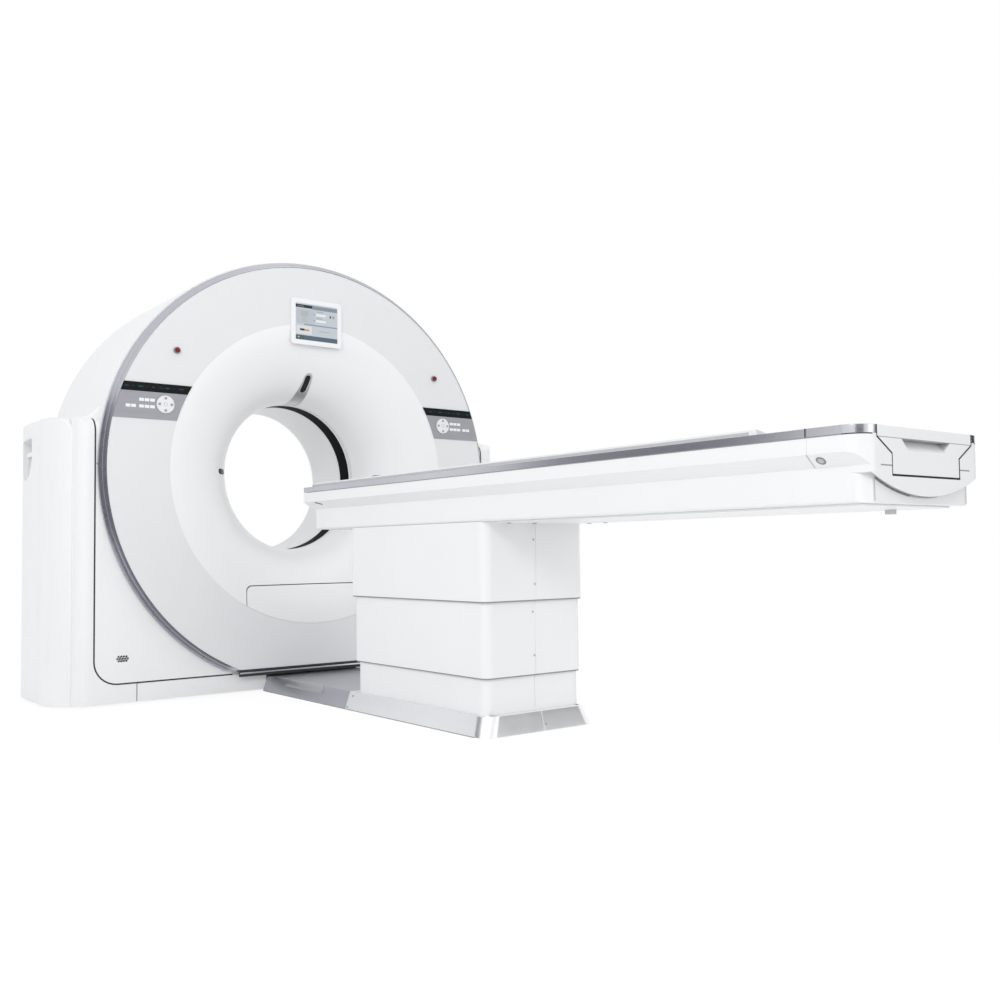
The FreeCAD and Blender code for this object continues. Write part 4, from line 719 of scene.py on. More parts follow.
    @staticmethod
    def seam(
        name: str, points: Sequence[Point], width: float, depth: float, facing: Point
    ) -> Piece:
        """Narrow strip along a line of points on a surface.

        Args:
            name: name of the piece.
            points: the line's points in order.
            width: width of the strip.
            depth: thickness of the strip.
            facing: outward direction of the surface.

        Returns:
            The new piece.
        """
        parts = []
        for a, b in zip(points, points[1:]):
            run = Vector(b) - Vector(a)
            along = run.normalized()
            out = (Vector(facing) - along * along.dot(Vector(facing))).normalized()
            turn = Matrix((along, out.cross(along), out)).transposed().to_euler()
            Workshop.clear()
            bpy.ops.mesh.primitive_cube_add(
                size=1.0, location=(Vector(a) + Vector(b)) / 2, rotation=turn
            )
            bpy.context.object.scale = (run.length + width * 0.5, width, depth)
            parts.append(Workshop.named(name))
        Workshop.clear()
        for part in parts:
            part.select_set(True)
        bpy.context.view_layer.objects.active = parts[0]
        if len(parts) > 1:
            bpy.ops.object.join()
        piece = bpy.context.object
        piece.name = piece.data.name = name
        return piece

    @staticmethod
    def fit(piece: Piece, finish: Finish, body: str, *nodes: str) -> Piece:
        """Paints a finished piece and sets it on its body.

        Args:
            piece: the piece.
            finish: its finish.
            body: the body that it moves with.
            nodes: the CAD nodes that it stands in for, if any.

        Returns:
            The same piece.
        """
        Workshop.paint(Workshop.smooth(piece), finish.build())
        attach(piece, body)
        if nodes:
            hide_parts(*nodes)
        LOG.info("built %s", piece.name)
        return piece

    @staticmethod
    def soften(piece: Piece, width: float) -> None:
        """Small live bevel and smooth shading, which leave the mesh as it is.

        Args:
            piece: the piece.
            width: width of the bevel, or nothing for none.
        """
        Workshop.pick(piece)
        weld = piece.modifiers.new("merge", "WELD")
        weld.merge_threshold = 2e-5
        if width:
            bevel = piece.modifiers.new("edge", "BEVEL")
            bevel.width, bevel.segments = width, 2
            bevel.limit_method, bevel.angle_limit = "ANGLE", math.radians(35.0)
            bevel.harden_normals = False
        piece.data.polygons.foreach_set("use_smooth", [True] * len(piece.data.polygons))
        shading = piece.modifiers.new("shading", "WEIGHTED_NORMAL")
        shading.keep_sharp, shading.weight = True, 80

    @staticmethod
    def smooth(piece: Piece) -> Piece:
        """Smooth shading, with sharp edges kept.

        Args:
            piece: the piece.

        Returns:
            The same piece.
        """
        Workshop.pick(piece)
        bpy.ops.object.shade_smooth_by_angle(angle=math.radians(30.0))
        return piece

    @staticmethod
    def paint(piece: Piece, material: bpy.types.Material) -> Piece:
        """Gives a piece one material.

        Args:
            piece: the piece.
            material: the material.

        Returns:
            The same piece.
        """
        piece.data.materials.clear()
        piece.data.materials.append(material)
        return piece


# ---- parts of the machine -----------------------------------------------------------------


@dataclass
class Dressing:
    """How CAD nodes that keep their own mesh are finished."""

    finish: Finish
    nodes: tuple[str, ...]
    edge: float = 0.0015

    def apply(self) -> None:
        """Paints and softens the nodes."""
        for name in self.nodes:
            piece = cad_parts[name]
            Workshop.paint(piece, self.finish.build())
            Workshop.soften(piece, self.edge)
            LOG.info("dressed %s as %s", name, self.finish.name)


@dataclass
class Housing:
    """Every CAD node that keeps its shape, with its finish."""

    dressings: tuple[Dressing, ...] = (
        Dressing(PALE_GREY, ("disc_cover",), 0.0),
        Dressing(WHITE, ("arch_shroud", "corner_cover_left", "corner_cover_right"), 0.002),
        Dressing(WHITE, ("side_cover_left", "side_cover_right", "grip_pockets"), 0.002),
        Dressing(WHITE, ("rear_cover", "rear_tunnel", "kick_strips"), 0.002),
        Dressing(DARK_WINDOW, ("scan_window",), 0.0),
        Dressing(SPEAKER_GREY, ("intercom_speaker",), 0.0),
        Dressing(PANEL, ("control_panel_left", "control_panel_right", "estop_collars"), 0.0005),
        Dressing(KEY, ("keypads",), 0.0004),
        Dressing(PAD, ("round_pad_left", "round_pad_right"), 0.0008),
        Dressing(RED, ("estop_left", "estop_right"), 0.001),
        Dressing(SCREEN_HOUSING, ("screen_bezel",), 0.003),
        Dressing(STEEL, ("base_frame", "stator_frame", "base_plate"), 0.001),
        Dressing(STEEL, ("lift_column_outer", "lift_column_middle", "lift_column_inner"), 0.001),
        Dressing(WHITE, ("underside_pan",), 0.001),
        Dressing(RUBBER, ("levelling_feet",), 0.002),
        Dressing(ROTOR_METAL, ("rotor_drum", "detector_arc", "table_frame"), 0.001),
        Dressing(TUBE_HOUSING, ("xray_tube", "collimator", "power_units"), 0.002),
        Dressing(SKIRT_SILVER_LIT, ("skirt_sides",), 0.002),
        Dressing(BRIDGE_SILVER_SHADED, ("skirt_bridge",), 0.002),
        Dressing(SILVER, ("rail_left", "rail_right", "rail_corners"), 0.0012),
        Dressing(WHITE, ("lower_covers", "middle_covers", "upper_covers"), 0.001),
        Dressing(WHITE, ("lower_tray", "side_shell_left", "side_shell_right"), 0.0012),
        Dressing(CAP_WHITE, ("foot_cap",), 0.0015),
        Dressing(HANDLE_WHITE_BAND_SHADOW, ("cradle_handle",), 0.0015),
        Dressing(CRADLE, ("cradle",), 0.0015),
    )

    def build(self) -> None:
        """Dresses all the nodes."""
        for dressing in self.dressings:
            dressing.apply()


@dataclass
class BellMouth:
    """Smooth bell mouth of the bore with the cover under it, in place of the faceted solids."""

    rim: float = 0.6915
    throat: float = 0.350
    face: float = 0.003
    lip: float = 0.282
    end: float = 0.3135
    wall: float = 0.006
    steps: int = 28
    groove: tuple[float, float, float] = (0.2835, 0.2862, 0.0025)
    slot_top_half: float = 0.0195
    slot_top_end: float = 1.462
    slot_low: float = 0.340
    slot_lip_half: float = 0.036
    slot_side_half: float = 0.0125
    slot_side_reach: tuple[float, float] = (0.386, 0.437)
    insert_set: float = 0.0022
    side_set: float = 0.001
    pill_half: float = 0.0135
    pill_span: tuple[float, float] = (1.380, 1.452)
    cover_half: float = 0.342
    cover_top: float = 0.470
    cover_round: float = 0.026
    cover_low: float = 0.1
    seam: float = 0.004
    front: float = -0.01
    top_round: float = 0.9
    end_round: float = 0.95
    joint_back: float = 0.004

    def section(self, face_set: float, back_set: float) -> tuple[list, list]:
        """Points of the bell's curved face and back.

        Args:
            face_set: how far the face is set in from the bell's surface.
            back_set: how far the back is set in.

        Returns:
            Pairs of radius and depth, of the face and of the back.
        """
        face, back = [], []
        for index in range(self.steps + 1):
            turn = math.pi / 2 * index / self.steps
            for points, inset in ((face, face_set), (back, back_set)):
                r = self.rim - (self.rim - self.throat - inset) * math.cos(turn)
                y = self.lip - (self.lip - self.face - inset) * math.sin(turn)
                points.append((r, y))
        return face, back

    def outline(self) -> list[tuple[float, float]]:
        """Closed section of the shell: face, throat and back.

        Returns:
            Pairs of radius and depth.
        """
        face, back = self.section(0.0, self.wall)
        start, stop, depth = self.groove
        throat = [(self.throat + self.wall, self.end), (self.throat, self.end)]
        for y, inset in ((stop, 0.0), (stop, depth), (start, depth), (start, 0.0)):
            throat.append((self.throat + inset, y))
        return throat + face + back[::-1]

    def shell(self, name: str) -> Piece:
        """The whole turned shell."""
        return Workshop.turned(name, self.outline(), (0.0, 0.0, BORE_Z))

    def lining(self, name: str, depth: float) -> Piece:
        """Thin turned shell that follows the bell a little way behind its surface."""
        face, back = self.section(depth, depth + self.wall / 2)
        return Workshop.turned(name, face + back[::-1], (0.0, 0.0, BORE_Z))

    def cover_block(self, grow: float) -> Piece:
        """Block with two round corners that cuts the cover out of the shell.

        Args:
            grow: how much larger than the cover it is, for the joint.

        Returns:
            The block.
        """
        half, top = self.cover_half + grow, self.cover_top + grow
        block = Workshop.block("cover cut", (-half, -0.05, self.cover_low), (half, 0.32, top))
        along = Workshop.along(Axis.Y)
        return Workshop.round_edges(
            block, self.cover_round, 8, lambda a, b: along(a, b) and min(a.z, b.z) > top - NEAR
        )

    def slots(self) -> list[Piece]:
        """Blocks that cut the laser slots; the top one widens towards the lip."""
        return [self.top_slot()] + [self.side_slot(side) for side in Side]

    def top_slot(self) -> Piece:
        """Block of the top slot, rounded at its outer end.

        Returns:
            The block.
        """
        half, low = self.slot_top_half, BORE_Z + self.slot_low
        far = (half, self.lip - 0.0005, self.slot_top_end)
        top = Workshop.block("slot", (-half, self.front, low), far)
        Workshop.widen(top, low, self.slot_lip_half / half)
        along = Workshop.along(Axis.Y)
        return Workshop.round_edges(
            top, half * self.top_round, 6,
            lambda a, b: along(a, b) and min(a.z, b.z) > self.slot_top_end - NEAR,
        )

    def side_slot(self, side: Side) -> Piece:
        """Block with round ends for a side slot.

        Args:
            side: the slot's side.

        Returns:
            The block.
        """
        half = self.slot_side_half
        near, far = sorted(side.value * reach for reach in self.slot_side_reach)
        block = Workshop.block("slot", (near, self.front, BORE_Z - half), (far, self.lip, BORE_Z + half))
        return Workshop.round_edges(block, half * self.end_round, 6, Workshop.along(Axis.Y))

    def pill(self) -> Piece:
        """Block with round ends for the window in the top slot.

        Returns:
            The block.
        """
        low, high = self.pill_span
        half = self.pill_half
        block = Workshop.block("pill", (-half, self.front, low), (half, 0.3, high))
        return Workshop.round_edges(block, half * self.end_round, 6, Workshop.along(Axis.Y))

    def lasers(self) -> None:
        """Makes the metal insert of the top slot and the dark windows of all three."""
        for name, depth, cutter, finish, nodes in (
            ("laser_insert", self.insert_set, self.top_slot, LASER_METAL, ("laser_windows",)),
            ("laser_pill_top", self.insert_set - 0.0008, self.pill, PILL_GLASS, ()),
            ("laser_pill_left", self.side_set, lambda: self.side_slot(Side.LEFT), PILL_GLASS, ()),
            ("laser_pill_right", self.side_set, lambda: self.side_slot(Side.RIGHT), PILL_GLASS, ()),
        ):
            piece = self.lining(name, depth)
            Workshop.combine(piece, [cutter()], "INTERSECT")
            Workshop.fit(piece, finish, "frame", *nodes)

    def throat_rings(self) -> None:
        """Dark joints and the light ring at the lip of the throat."""
        lip, back = self.groove[1], self.throat + self.joint_back
        for name, y0, y1, inset, finish in (
            ("lip_joint", self.groove[0], lip, 0.0008, SHADOW_LINE),
            ("lip_ring", lip + 0.0005, lip + 0.010, 0.0003, SILVER),
            ("throat_joint", lip + 0.0105, lip + 0.0130, -0.0002, GREY_LINE),
            ("window_joint", self.end + 0.0002, self.end + 0.0022, 0.0010, SHADOW_LINE),
        ):
            face = self.throat + inset
            outline = ((face, y0), (face, y1), (back, y1), (back, y0))
            ring = Workshop.turned(name, outline, (0.0, 0.0, BORE_Z))
            Workshop.fit(ring, finish, "frame")

    def build(self) -> None:
        """Makes the funnel, its access cover, the laser windows and the throat's rings."""
        for name, tools, operation, node in (
            ("bell_mouth", [self.cover_block(self.seam), *self.slots()], "DIFFERENCE", "funnel_cover"),
            ("access_cover_smooth", [self.cover_block(0.0)], "INTERSECT", "access_cover"),
        ):
            piece = Workshop.combine(self.shell(name), tools, operation)
            Workshop.fit(piece, WHITE, "frame", node)
        self.lasers()
        self.throat_rings()


@dataclass
class TouchScreen:
    """The screen's picture on its glass."""

    def build(self) -> None:
        """Paints the glass with the picture."""
        low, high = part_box("screen_glass")
        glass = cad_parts["screen_glass"]
        Workshop.paint(glass, SCREEN_PICTURE.build(low, high))
        LOG.info("painted the screen")


@dataclass
class StatusStrips:
    """Dark strips over the control panels with dim marks."""

    marks: int = 9
    starts: tuple[float, float] = (0.008, 0.850)
    pitch: float = 0.016
    span: tuple[float, float] = (0.44, 0.60)
    tints: tuple[float, ...] = (0.10, 0.05, 0.13, 0.03)
    widths: tuple[float, ...] = (0.010, 0.007, 0.012)

    def build(self) -> None:
        """Paints both strips as one display."""
        low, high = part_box("display_strips")
        patches = []
        for start in self.starts:
            for index in range(self.marks):
                left = start + self.pitch * index
                tint = self.tints[index % len(self.tints)]
                width = self.widths[index % len(self.widths)]
                patches.append(Patch(left, left + width, *self.span, (0.01, tint, tint * 0.95)))
        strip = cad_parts["display_strips"]
        base = (0.003, 0.004, 0.006)
        picture = Display("status", base, tuple(patches), 0.6, specular=0.08, grain=0.008)
        Workshop.paint(strip, picture.build(low, high))
        LOG.info("painted the status strips")


@dataclass
class TrimRing:
    """Silver ring round the disc with two rounded bands, and the sill under the disc, painted dark as
    shade.
    """

    inner: float = 0.9556
    split: tuple[float, float] = (0.9668, 0.9684)
    outer: float = 0.9798
    depths: tuple[float, float, float, float] = (0.0012, 0.0140, 0.0160, 0.0300)
    crown: float = 0.0006
    back: float = 0.0448
    foot: float = 0.106
    steps: int = 6
    sill_half: float = 0.3732
    sill: tuple[float, float] = (0.097, 0.1055)
    strip: tuple[float, float] = (0.0865, 0.0935)
    plate: tuple[float, float] = (0.074, 0.098)
    strip_depths: tuple[float, float, float] = (0.010, 0.016, 0.022)

    def band(self, start: tuple[float, float], stop: tuple[float, float]) -> list:
        """Points of one rounded band of the section.

        Args:
            start: radius and depth of its first point.
            stop: radius and depth of its last point.

        Returns:
            Pairs of radius and depth.
        """
        run = (stop[0] - start[0], stop[1] - start[1])
        length = math.hypot(*run)
        points = []
        for index in range(self.steps + 1):
            t = index / self.steps
            rise = self.crown * 4 * t * (1 - t) / length
            points.append(
                (start[0] + run[0] * t + run[1] * rise, start[1] + run[1] * t - run[0] * rise)
            )
        return points

    def build(self) -> None:
        """Makes the ring, open at its foot, the sill painted dark as shade, the strip under it and a dark
        band painted as the shadow under the disc.
        """
        near, far = self.split
        d = self.depths
        outline = self.band((self.inner, d[0]), (near, d[1]))
        outline += [(near, d[2] + 0.001), (far, d[2] + 0.001)]
        outline += self.band((far, d[2]), (self.outer, d[3]))
        outline += [(self.outer, self.back), (self.inner, self.back)]
        ring = Workshop.turned("trim_ring_smooth", outline, (0.0, 0.0, BORE_Z))
        below = Workshop.block("below", (-1.1, -0.05, -0.1), (1.1, 0.1, self.foot))
        Workshop.combine(ring, [below], "DIFFERENCE")
        Workshop.fit(ring, RING_SILVER_SHADED, "frame", "trim_ring")
        half = self.sill_half
        front, middle, rear = self.strip_depths
        for name, near, far, (low, high), edge, finish in (
            ("disc_sill", 0.0, self.back, self.sill, 0.001, SHADED_SILL_METAL),
            ("sill_strip", front, middle, self.strip, BAR_EDGE, SILVER),
            # Dark band painted as the shadow in the gap under the disc.
            ("sill_plate", middle, rear, self.plate, BAR_EDGE, SHADOW_LINE),
        ):
            piece = Workshop.bar(name, (-half, near, low), (half, far, high), edge)
            Workshop.fit(piece, finish, "frame")


@dataclass
class GantrySeams:
    """Dark seams round the corner covers, the shoulders' fillings and fine joints."""

    seam_x: float = 0.988
    seam_low: float = 0.086
    corner: float = 0.097
    face: float = 0.0452
    leg_top: float = 1.183
    leg_round: float = 0.062
    width: float = 0.0062
    thickness: float = 0.0012
    reach: float = 0.395
    leg_half: float = 1.066
    arch: float = 0.986
    shoulder: float = 0.115
    fill_front: float = 0.094
    fill_back: float = 0.1085
    fill_round: float = 0.012
    kick_x: float = 0.814
    kick_span: tuple[float, float] = (0.010, 0.082)
    mouth: float = 0.692
    mouth_half: float = 0.001
    mouth_depths: tuple[float, float] = (0.0034, 0.007)
    cover_half: float = 0.36
    cover_top: float = 0.5

    def seam_points(self, side: float) -> list[Point]:
        """Line of the seam from the leg's top down round the corner to the trim ring.

        Args:
            side: sign of the side.

        Returns:
            The line's points.
        """
        points = []
        bend_y, bend_z = COVER_Y + self.leg_round, self.leg_top - self.leg_round
        for degrees in range(88, -1, -8):
            turn = math.radians(degrees)
            y, z = bend_y - self.leg_round * math.cos(turn), bend_z + self.leg_round * math.sin(turn)
            points.append((side * self.seam_x, y, z))
        centre_x, centre_z = self.seam_x - self.corner, self.seam_low + self.corner
        for index in range(9):
            turn = math.pi / 2 * index / 8
            x, z = centre_x + self.corner * math.cos(turn), centre_z - self.corner * math.sin(turn)
            points.append((side * x, self.face, z))
        return points + [(side * self.reach, self.face, self.seam_low)]

    def shoulder_fill(self, side: Side) -> Piece:
        """Rounded filling of the hollow between the arch and the front of a leg's top.

        Args:
            side: the leg's side.

        Returns:
            The filling.
        """
        rise = self.leg_top + self.shoulder - BORE_Z
        reach = math.sqrt((self.arch + self.shoulder) ** 2 - rise**2)
        near, far = sorted((side.value * (self.arch * 0.86), side.value * (reach + 0.004)))
        fill = Workshop.block(
            "shoulder_fill_" + side.tag,
            (near, self.fill_front, self.leg_top - 0.008), (far, self.fill_back, self.leg_top + 0.120),
        )
        Workshop.clear()
        bpy.ops.mesh.primitive_cylinder_add(
            vertices=96, radius=self.shoulder + 0.0004, depth=0.4,
            location=(side.value * reach, 0.1, self.leg_top + self.shoulder),
            rotation=(math.pi / 2, 0.0, 0.0),
        )
        hollow = Workshop.named("hollow")
        Workshop.combine(fill, [hollow], "DIFFERENCE")
        front, low = self.fill_front + 0.0005, self.leg_top - 0.002
        return Workshop.round_edges(
            fill, self.fill_round, 4, lambda a, b: max(a.y, b.y) < front and min(a.z, b.z) > low
        )

    def build(self) -> None:
        """Makes the seams, fillings and joints on both sides, and the joint of the mouth."""
        for side in Side:
            tag, sign = side.tag, side.value
            facing = (sign * 0.02, -1, 0.3)
            line = Workshop.seam(
                "cover_seam_" + tag, self.seam_points(sign), self.width, self.thickness, facing
            )
            Workshop.fit(line, SHADOW_LINE, "frame")
            Workshop.fit(self.shoulder_fill(side), WHITE, "frame")
            for name, reach, depths, heights in (
                ("side_joint_", (self.leg_half - 0.008, self.leg_half + 0.0012), (0.0886, 0.100),
                 (0.010, self.leg_top - 0.010)),
                ("kick_closer_", (0.2625, 0.232), (0.046, 0.052), (0.008, 0.084)),
            ):
                near, far = sorted(sign * x for x in reach)
                corners = zip((near, far), depths, heights)
                Workshop.fit(Workshop.bar(name + tag, *corners), WHITE, "frame")
            kick = Workshop.seam(
                "kick_joint_" + tag, [(sign * self.kick_x, self.face, z) for z in self.kick_span],
                0.003, self.thickness, (0, -1, 0),
            )
            Workshop.fit(kick, GREY_LINE, "frame")
        near, far = self.mouth - self.mouth_half, self.mouth + self.mouth_half
        front, back = self.mouth_depths
        outline = ((near, front), (far, front), (far, back), (near, back))
        ring = Workshop.turned("mouth_joint", outline, (0.0, 0.0, BORE_Z))
        half = self.cover_half
        cover = Workshop.block("cut", (-half, -0.05, 0.0), (half, 0.1, self.cover_top))
        Workshop.combine(ring, [cover], "DIFFERENCE")
        Workshop.fit(ring, PALE_GREY, "frame")


@dataclass
class PadMarks:
    """Printed marks on the two four-way pads."""

    x: float = 0.714
    z: float = 1.250
    face: float = -0.0052
    reach: float = 0.026
    size: float = 0.0055
    thickness: float = 0.0012
    hub_radius: float = 0.008

    def build(self) -> None:
        """Sets four marks and a centre mark on each pad."""
        for side in Side:
            tag, middle = side.tag, side.value * self.x
            body = "pad_" + tag
            for index in range(4):
                turn = math.pi / 2 * index
                x, z = middle + self.reach * math.cos(turn), self.z + self.reach * math.sin(turn)
                low = (x - self.size, self.face, z - self.size)
                high = (x + self.size, self.face + self.thickness, z + self.size)
                mark = Workshop.bar(f"pad_mark_{tag}_{index}", low, high, 0.002)
                Workshop.fit(mark, PAD_MARK, body)
            foot = (middle, self.face + 0.001, self.z)
            hub = Workshop.stud("pad_hub_" + tag, foot, (0, -1, 0), self.hub_radius, 0.001)
            Workshop.fit(hub, PAD_MARK, body)


@dataclass
class TableFittings:
    """Lines, sockets and fasteners of the table housing."""

    half: float = 0.266
    head: float = -0.384
    foot: float = -3.015
    joint: float = -2.867
    socket_set: float = 0.0283
    rail_line_z: float = 0.8664
    rail_ends: tuple[float, float] = (0.8675, 0.8875)
    rail_top: float = 0.888
    line_width: float = 0.0026
    cradle_half: float = 0.2503
    cradle_foot: float = -2.69
    cradle_line_z: float = 0.8935
    tray_face: float = -3.0013
    neck_half: float = 0.148
    neck_low: float = 0.775
    band: float = 0.861
    shoulder_half: float = 0.208
    corner: float = 0.052
    smile_radius: float = 0.5035
    smile_low: float = 0.729
    under: float = 0.7122
    tray_screws: tuple[tuple[float, float], ...] = (
        (-0.130, -1.590), (-0.018, -1.590), (0.190, -1.640), (0.190, -1.720),
    )

    def line(
        self, name: str, points: Sequence[Point], width: float, finish: Finish,
        body: str = "table", facing: Point = (0.0, -1.0, 0.0),
    ) -> None:
        """Strip along a line on the foot face or a side.

        Args:
            name: name of the strip.
            points: the line's points.
            width: width of the strip.
            finish: its finish.
            body: the body that it moves with.
            facing: outward direction of the surface.
        """
        Workshop.fit(Workshop.seam(name, points, width, 0.0009, facing), finish, body)

    def smile(self, x: float) -> float:
        """Height of the lower lip at a place across the foot end.

        Args:
            x: the place.

        Returns:
            The height.
        """
        centre = self.smile_low + self.smile_radius
        return centre - math.sqrt(self.smile_radius**2 - x**2)

    def rails(self, side: Side) -> None:
        """Painted shadow under a rail and round its corner, painted shade on the cradle's edge over it, its
        joint and its ends.

        Args:
            side: the rail's side.
        """
        sign, tag = side.value, side.tag
        out = (float(sign), 0.0, 0.0)
        x, z, width = sign * (self.half + 0.0001), self.rail_line_z, self.line_width
        ends = (self.head - 0.03, self.foot + self.corner)
        # Grey strip painted as the shadow under the rail, carried round the corner below.
        self.line("rail_line_" + tag, [(x, y, z) for y in ends], width, GREY_LINE, facing=out)
        centre = (sign * (self.half - self.corner), self.foot + self.corner)
        radius = self.corner - 0.0002
        arc = []
        for index in range(9):
            turn = 1.36 * index / 8
            x_arc = centre[0] + sign * radius * math.cos(turn)
            arc.append((x_arc, centre[1] - radius * math.sin(turn), z))
        self.line("corner_line_" + tag, arc, width, SHADOW_LINE, facing=(sign * 0.5, -0.5, 0.1))
        joint = [(x, self.joint + 0.001, level) for level in self.rail_ends]
        self.line("rail_joint_" + tag, joint, width, SHADOW_LINE, facing=out)
        edge = sign * self.cradle_half
        ends = (self.head - 0.05, self.cradle_foot)
        points = [(edge, y, self.cradle_line_z) for y in ends]
        # Grey strip painted as the shade on the cradle's side above the rail.
        self.line("cradle_edge_" + tag, points, 0.0090, PALE_LINE, "cradle", out)
        x, y = sign * self.shoulder_half, self.foot + 0.0006
        end = [(x, y, self.band + 0.002), (x, y, self.rail_top - 0.001)]
        self.line("rail_end_" + tag, end, 0.0034, SHADOW_LINE)
        foot = (sign * 0.2155, self.foot + 0.0018, 0.8592)
        pin = Workshop.stud("rail_pin_" + tag, foot, (0, -1, 0), 0.0034, 0.0016, 8)
        Workshop.fit(pin, SHADOW_LINE, "table")

    def groove(self, side: Side) -> None:
        """Joint, sockets and the slot at the head in the slanted groove.

        Args:
            side: the groove's side.
        """
        sign, tag = side.value, side.tag
        out = (sign * 0.64, 0.0, -0.77)
        joint = [(sign * 0.2655, self.joint, 0.8262), (sign * 0.231, self.joint, 0.7975)]
        self.line("groove_joint_" + tag, joint, self.line_width, PALE_LINE, facing=out)
        for name, (x, z), radius, length, sides, finish in (
            ("groove_socket_", (0.2478, 0.8125), 0.0125, 0.0016, 20, GREY_LINE),
            ("groove_core_", (0.2482, 0.8120), 0.0075, 0.0014, 16, PALE_LINE),
        ):
            foot = (sign * x, self.joint - self.socket_set, z)
            stud = Workshop.stud(name + tag, foot, out, radius, length, sides)
            Workshop.fit(stud, finish, "table")
        slot = [(sign * 0.2606, -0.474, 0.8224), (sign * 0.2500, -0.514, 0.8136)]
        self.line("head_slot_" + tag, slot, 0.0060, SHADOW_LINE, facing=out)

    def foot_end(self) -> None:
        """Painted shadow in the gap round the handle, the seams of the tray and the painted shadow under
        the lip.
        """
        y = self.foot + 0.0006
        n, low = self.neck_half, self.neck_low
        for side in Side:
            sign, tag = side.value, side.tag
            top = (sign * (self.shoulder_half - 0.001), y, self.band)
            gap = [top, (sign * n, y, 0.8255), (sign * n, y, low)]
            self.line("neck_gap_" + tag, gap, 0.0032, SHADOW_LINE)
            seam = [(sign * 0.2005, self.tray_face, z) for z in (0.716, 0.768)]
            self.line("tray_seam_" + tag, seam, 0.0022, PALE_LINE)
        # Thick near-black strip painted as the shadow in the gap under the handle's neck.
        self.line("neck_foot", [(-n, y, low), (n, y, low)], 0.0058, GAP_SHADOW_BLACK)
        # Strips painted as the lip's shadow on the tray, darker and wider on the left.
        for name, x0, x1, width, finish in (
            ("lip_line_left", -0.199, -0.060, 0.0050, GREY_LINE),
            ("lip_line_middle", -0.060, 0.060, 0.0040, PALE_LINE),
            ("lip_line_right", 0.060, 0.199, 0.0024, PALE_LINE),
        ):
            places = [x0 + (x1 - x0) * index / 6 for index in range(7)]
            points = [(x, self.tray_face - 0.0004, self.smile(x) - width * 0.4) for x in places]
            self.line(name, points, width, finish)

    def underside(self) -> None:
        """Knob and fasteners under the tray."""
        down = (0, 0, -1)
        knob = Workshop.stud("tray_knob", (0.1337, -2.8347, 0.7115), down, 0.014, 0.016, 20)
        Workshop.fit(knob, PALE_LINE, "table")
        for index, (x, y) in enumerate(self.tray_screws):
            screw = Workshop.stud(f"tray_screw_{index}", (x, y, self.under), down, 0.008, 0.007, 12)
            Workshop.fit(screw, GREY_LINE, "table")

    def build(self) -> None:
        """Fits both sides, the foot end and the underside."""
        for side in Side:
            self.rails(side)
            self.groove(side)
        self.foot_end()
        self.underside()


@dataclass
class PedestalFittings:
    """Dark rims painted as the shadow under the telescoping stages, and the screws of the end face."""

    screws: tuple[tuple[str, Point], ...] = (
        ("table", (-0.0100, -1.5722, 0.6510)),
        ("table", (-0.0060, -1.5722, 0.4990)),
        ("middle_stage", (-0.0110, -1.5647, 0.4040)),
        ("middle_stage", (-0.0060, -1.5647, 0.2553)),
    )
    rim_height: float = 0.0040
    rim_round: float = 0.033
    hollow_round: float = 0.025
    rim_gap: float = 0.0008

    def rim(
        self, name: str, body: str, inside: str, half: float, foot: float, head: float, top: float
    ) -> None:
        """Recessed dark rim painted as the shadow under the lower edge of a stage, round the covers inside
        it.

        Args:
            name: name of the rim.
            body: the body that it moves with.
            inside: the node that it goes round.
            half: half its width.
            foot: its end towards the foot.
            head: its end towards the gantry.
            top: height of its top.
        """
        block = Workshop.block(name, (-half, foot, top - self.rim_height), (half, head, top))
        Workshop.round_edges(block, self.rim_round, 8, Workshop.along(Axis.Z))
        low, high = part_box(inside)
        clear = Vector((self.rim_gap, self.rim_gap, 0.0))
        low, high = low - clear, high + clear
        hollow = Workshop.block("hollow", (low.x, low.y, top - 0.1), (high.x, high.y, top + 0.1))
        Workshop.round_edges(hollow, self.hollow_round, 8, Workshop.along(Axis.Z))
        Workshop.combine(block, [hollow], "DIFFERENCE")
        Workshop.fit(block, GREY_LINE, body)

    def build(self) -> None:
        """Makes the rims and sets the screws."""
        self.rim("upper_shade", "table", "middle_covers", 0.2238, -1.5708, -0.6912, 0.4449)
        self.rim("middle_shade", "middle_stage", "lower_covers", 0.2168, -1.5633, -0.7062, 0.1909)
        for index, (body, foot) in enumerate(self.screws):
            screw = Workshop.stud(f"end_screw_{index}", foot, (0, -1, 0), 0.0045, 0.0008, 12)
            Workshop.fit(screw, PALE_LINE, body)


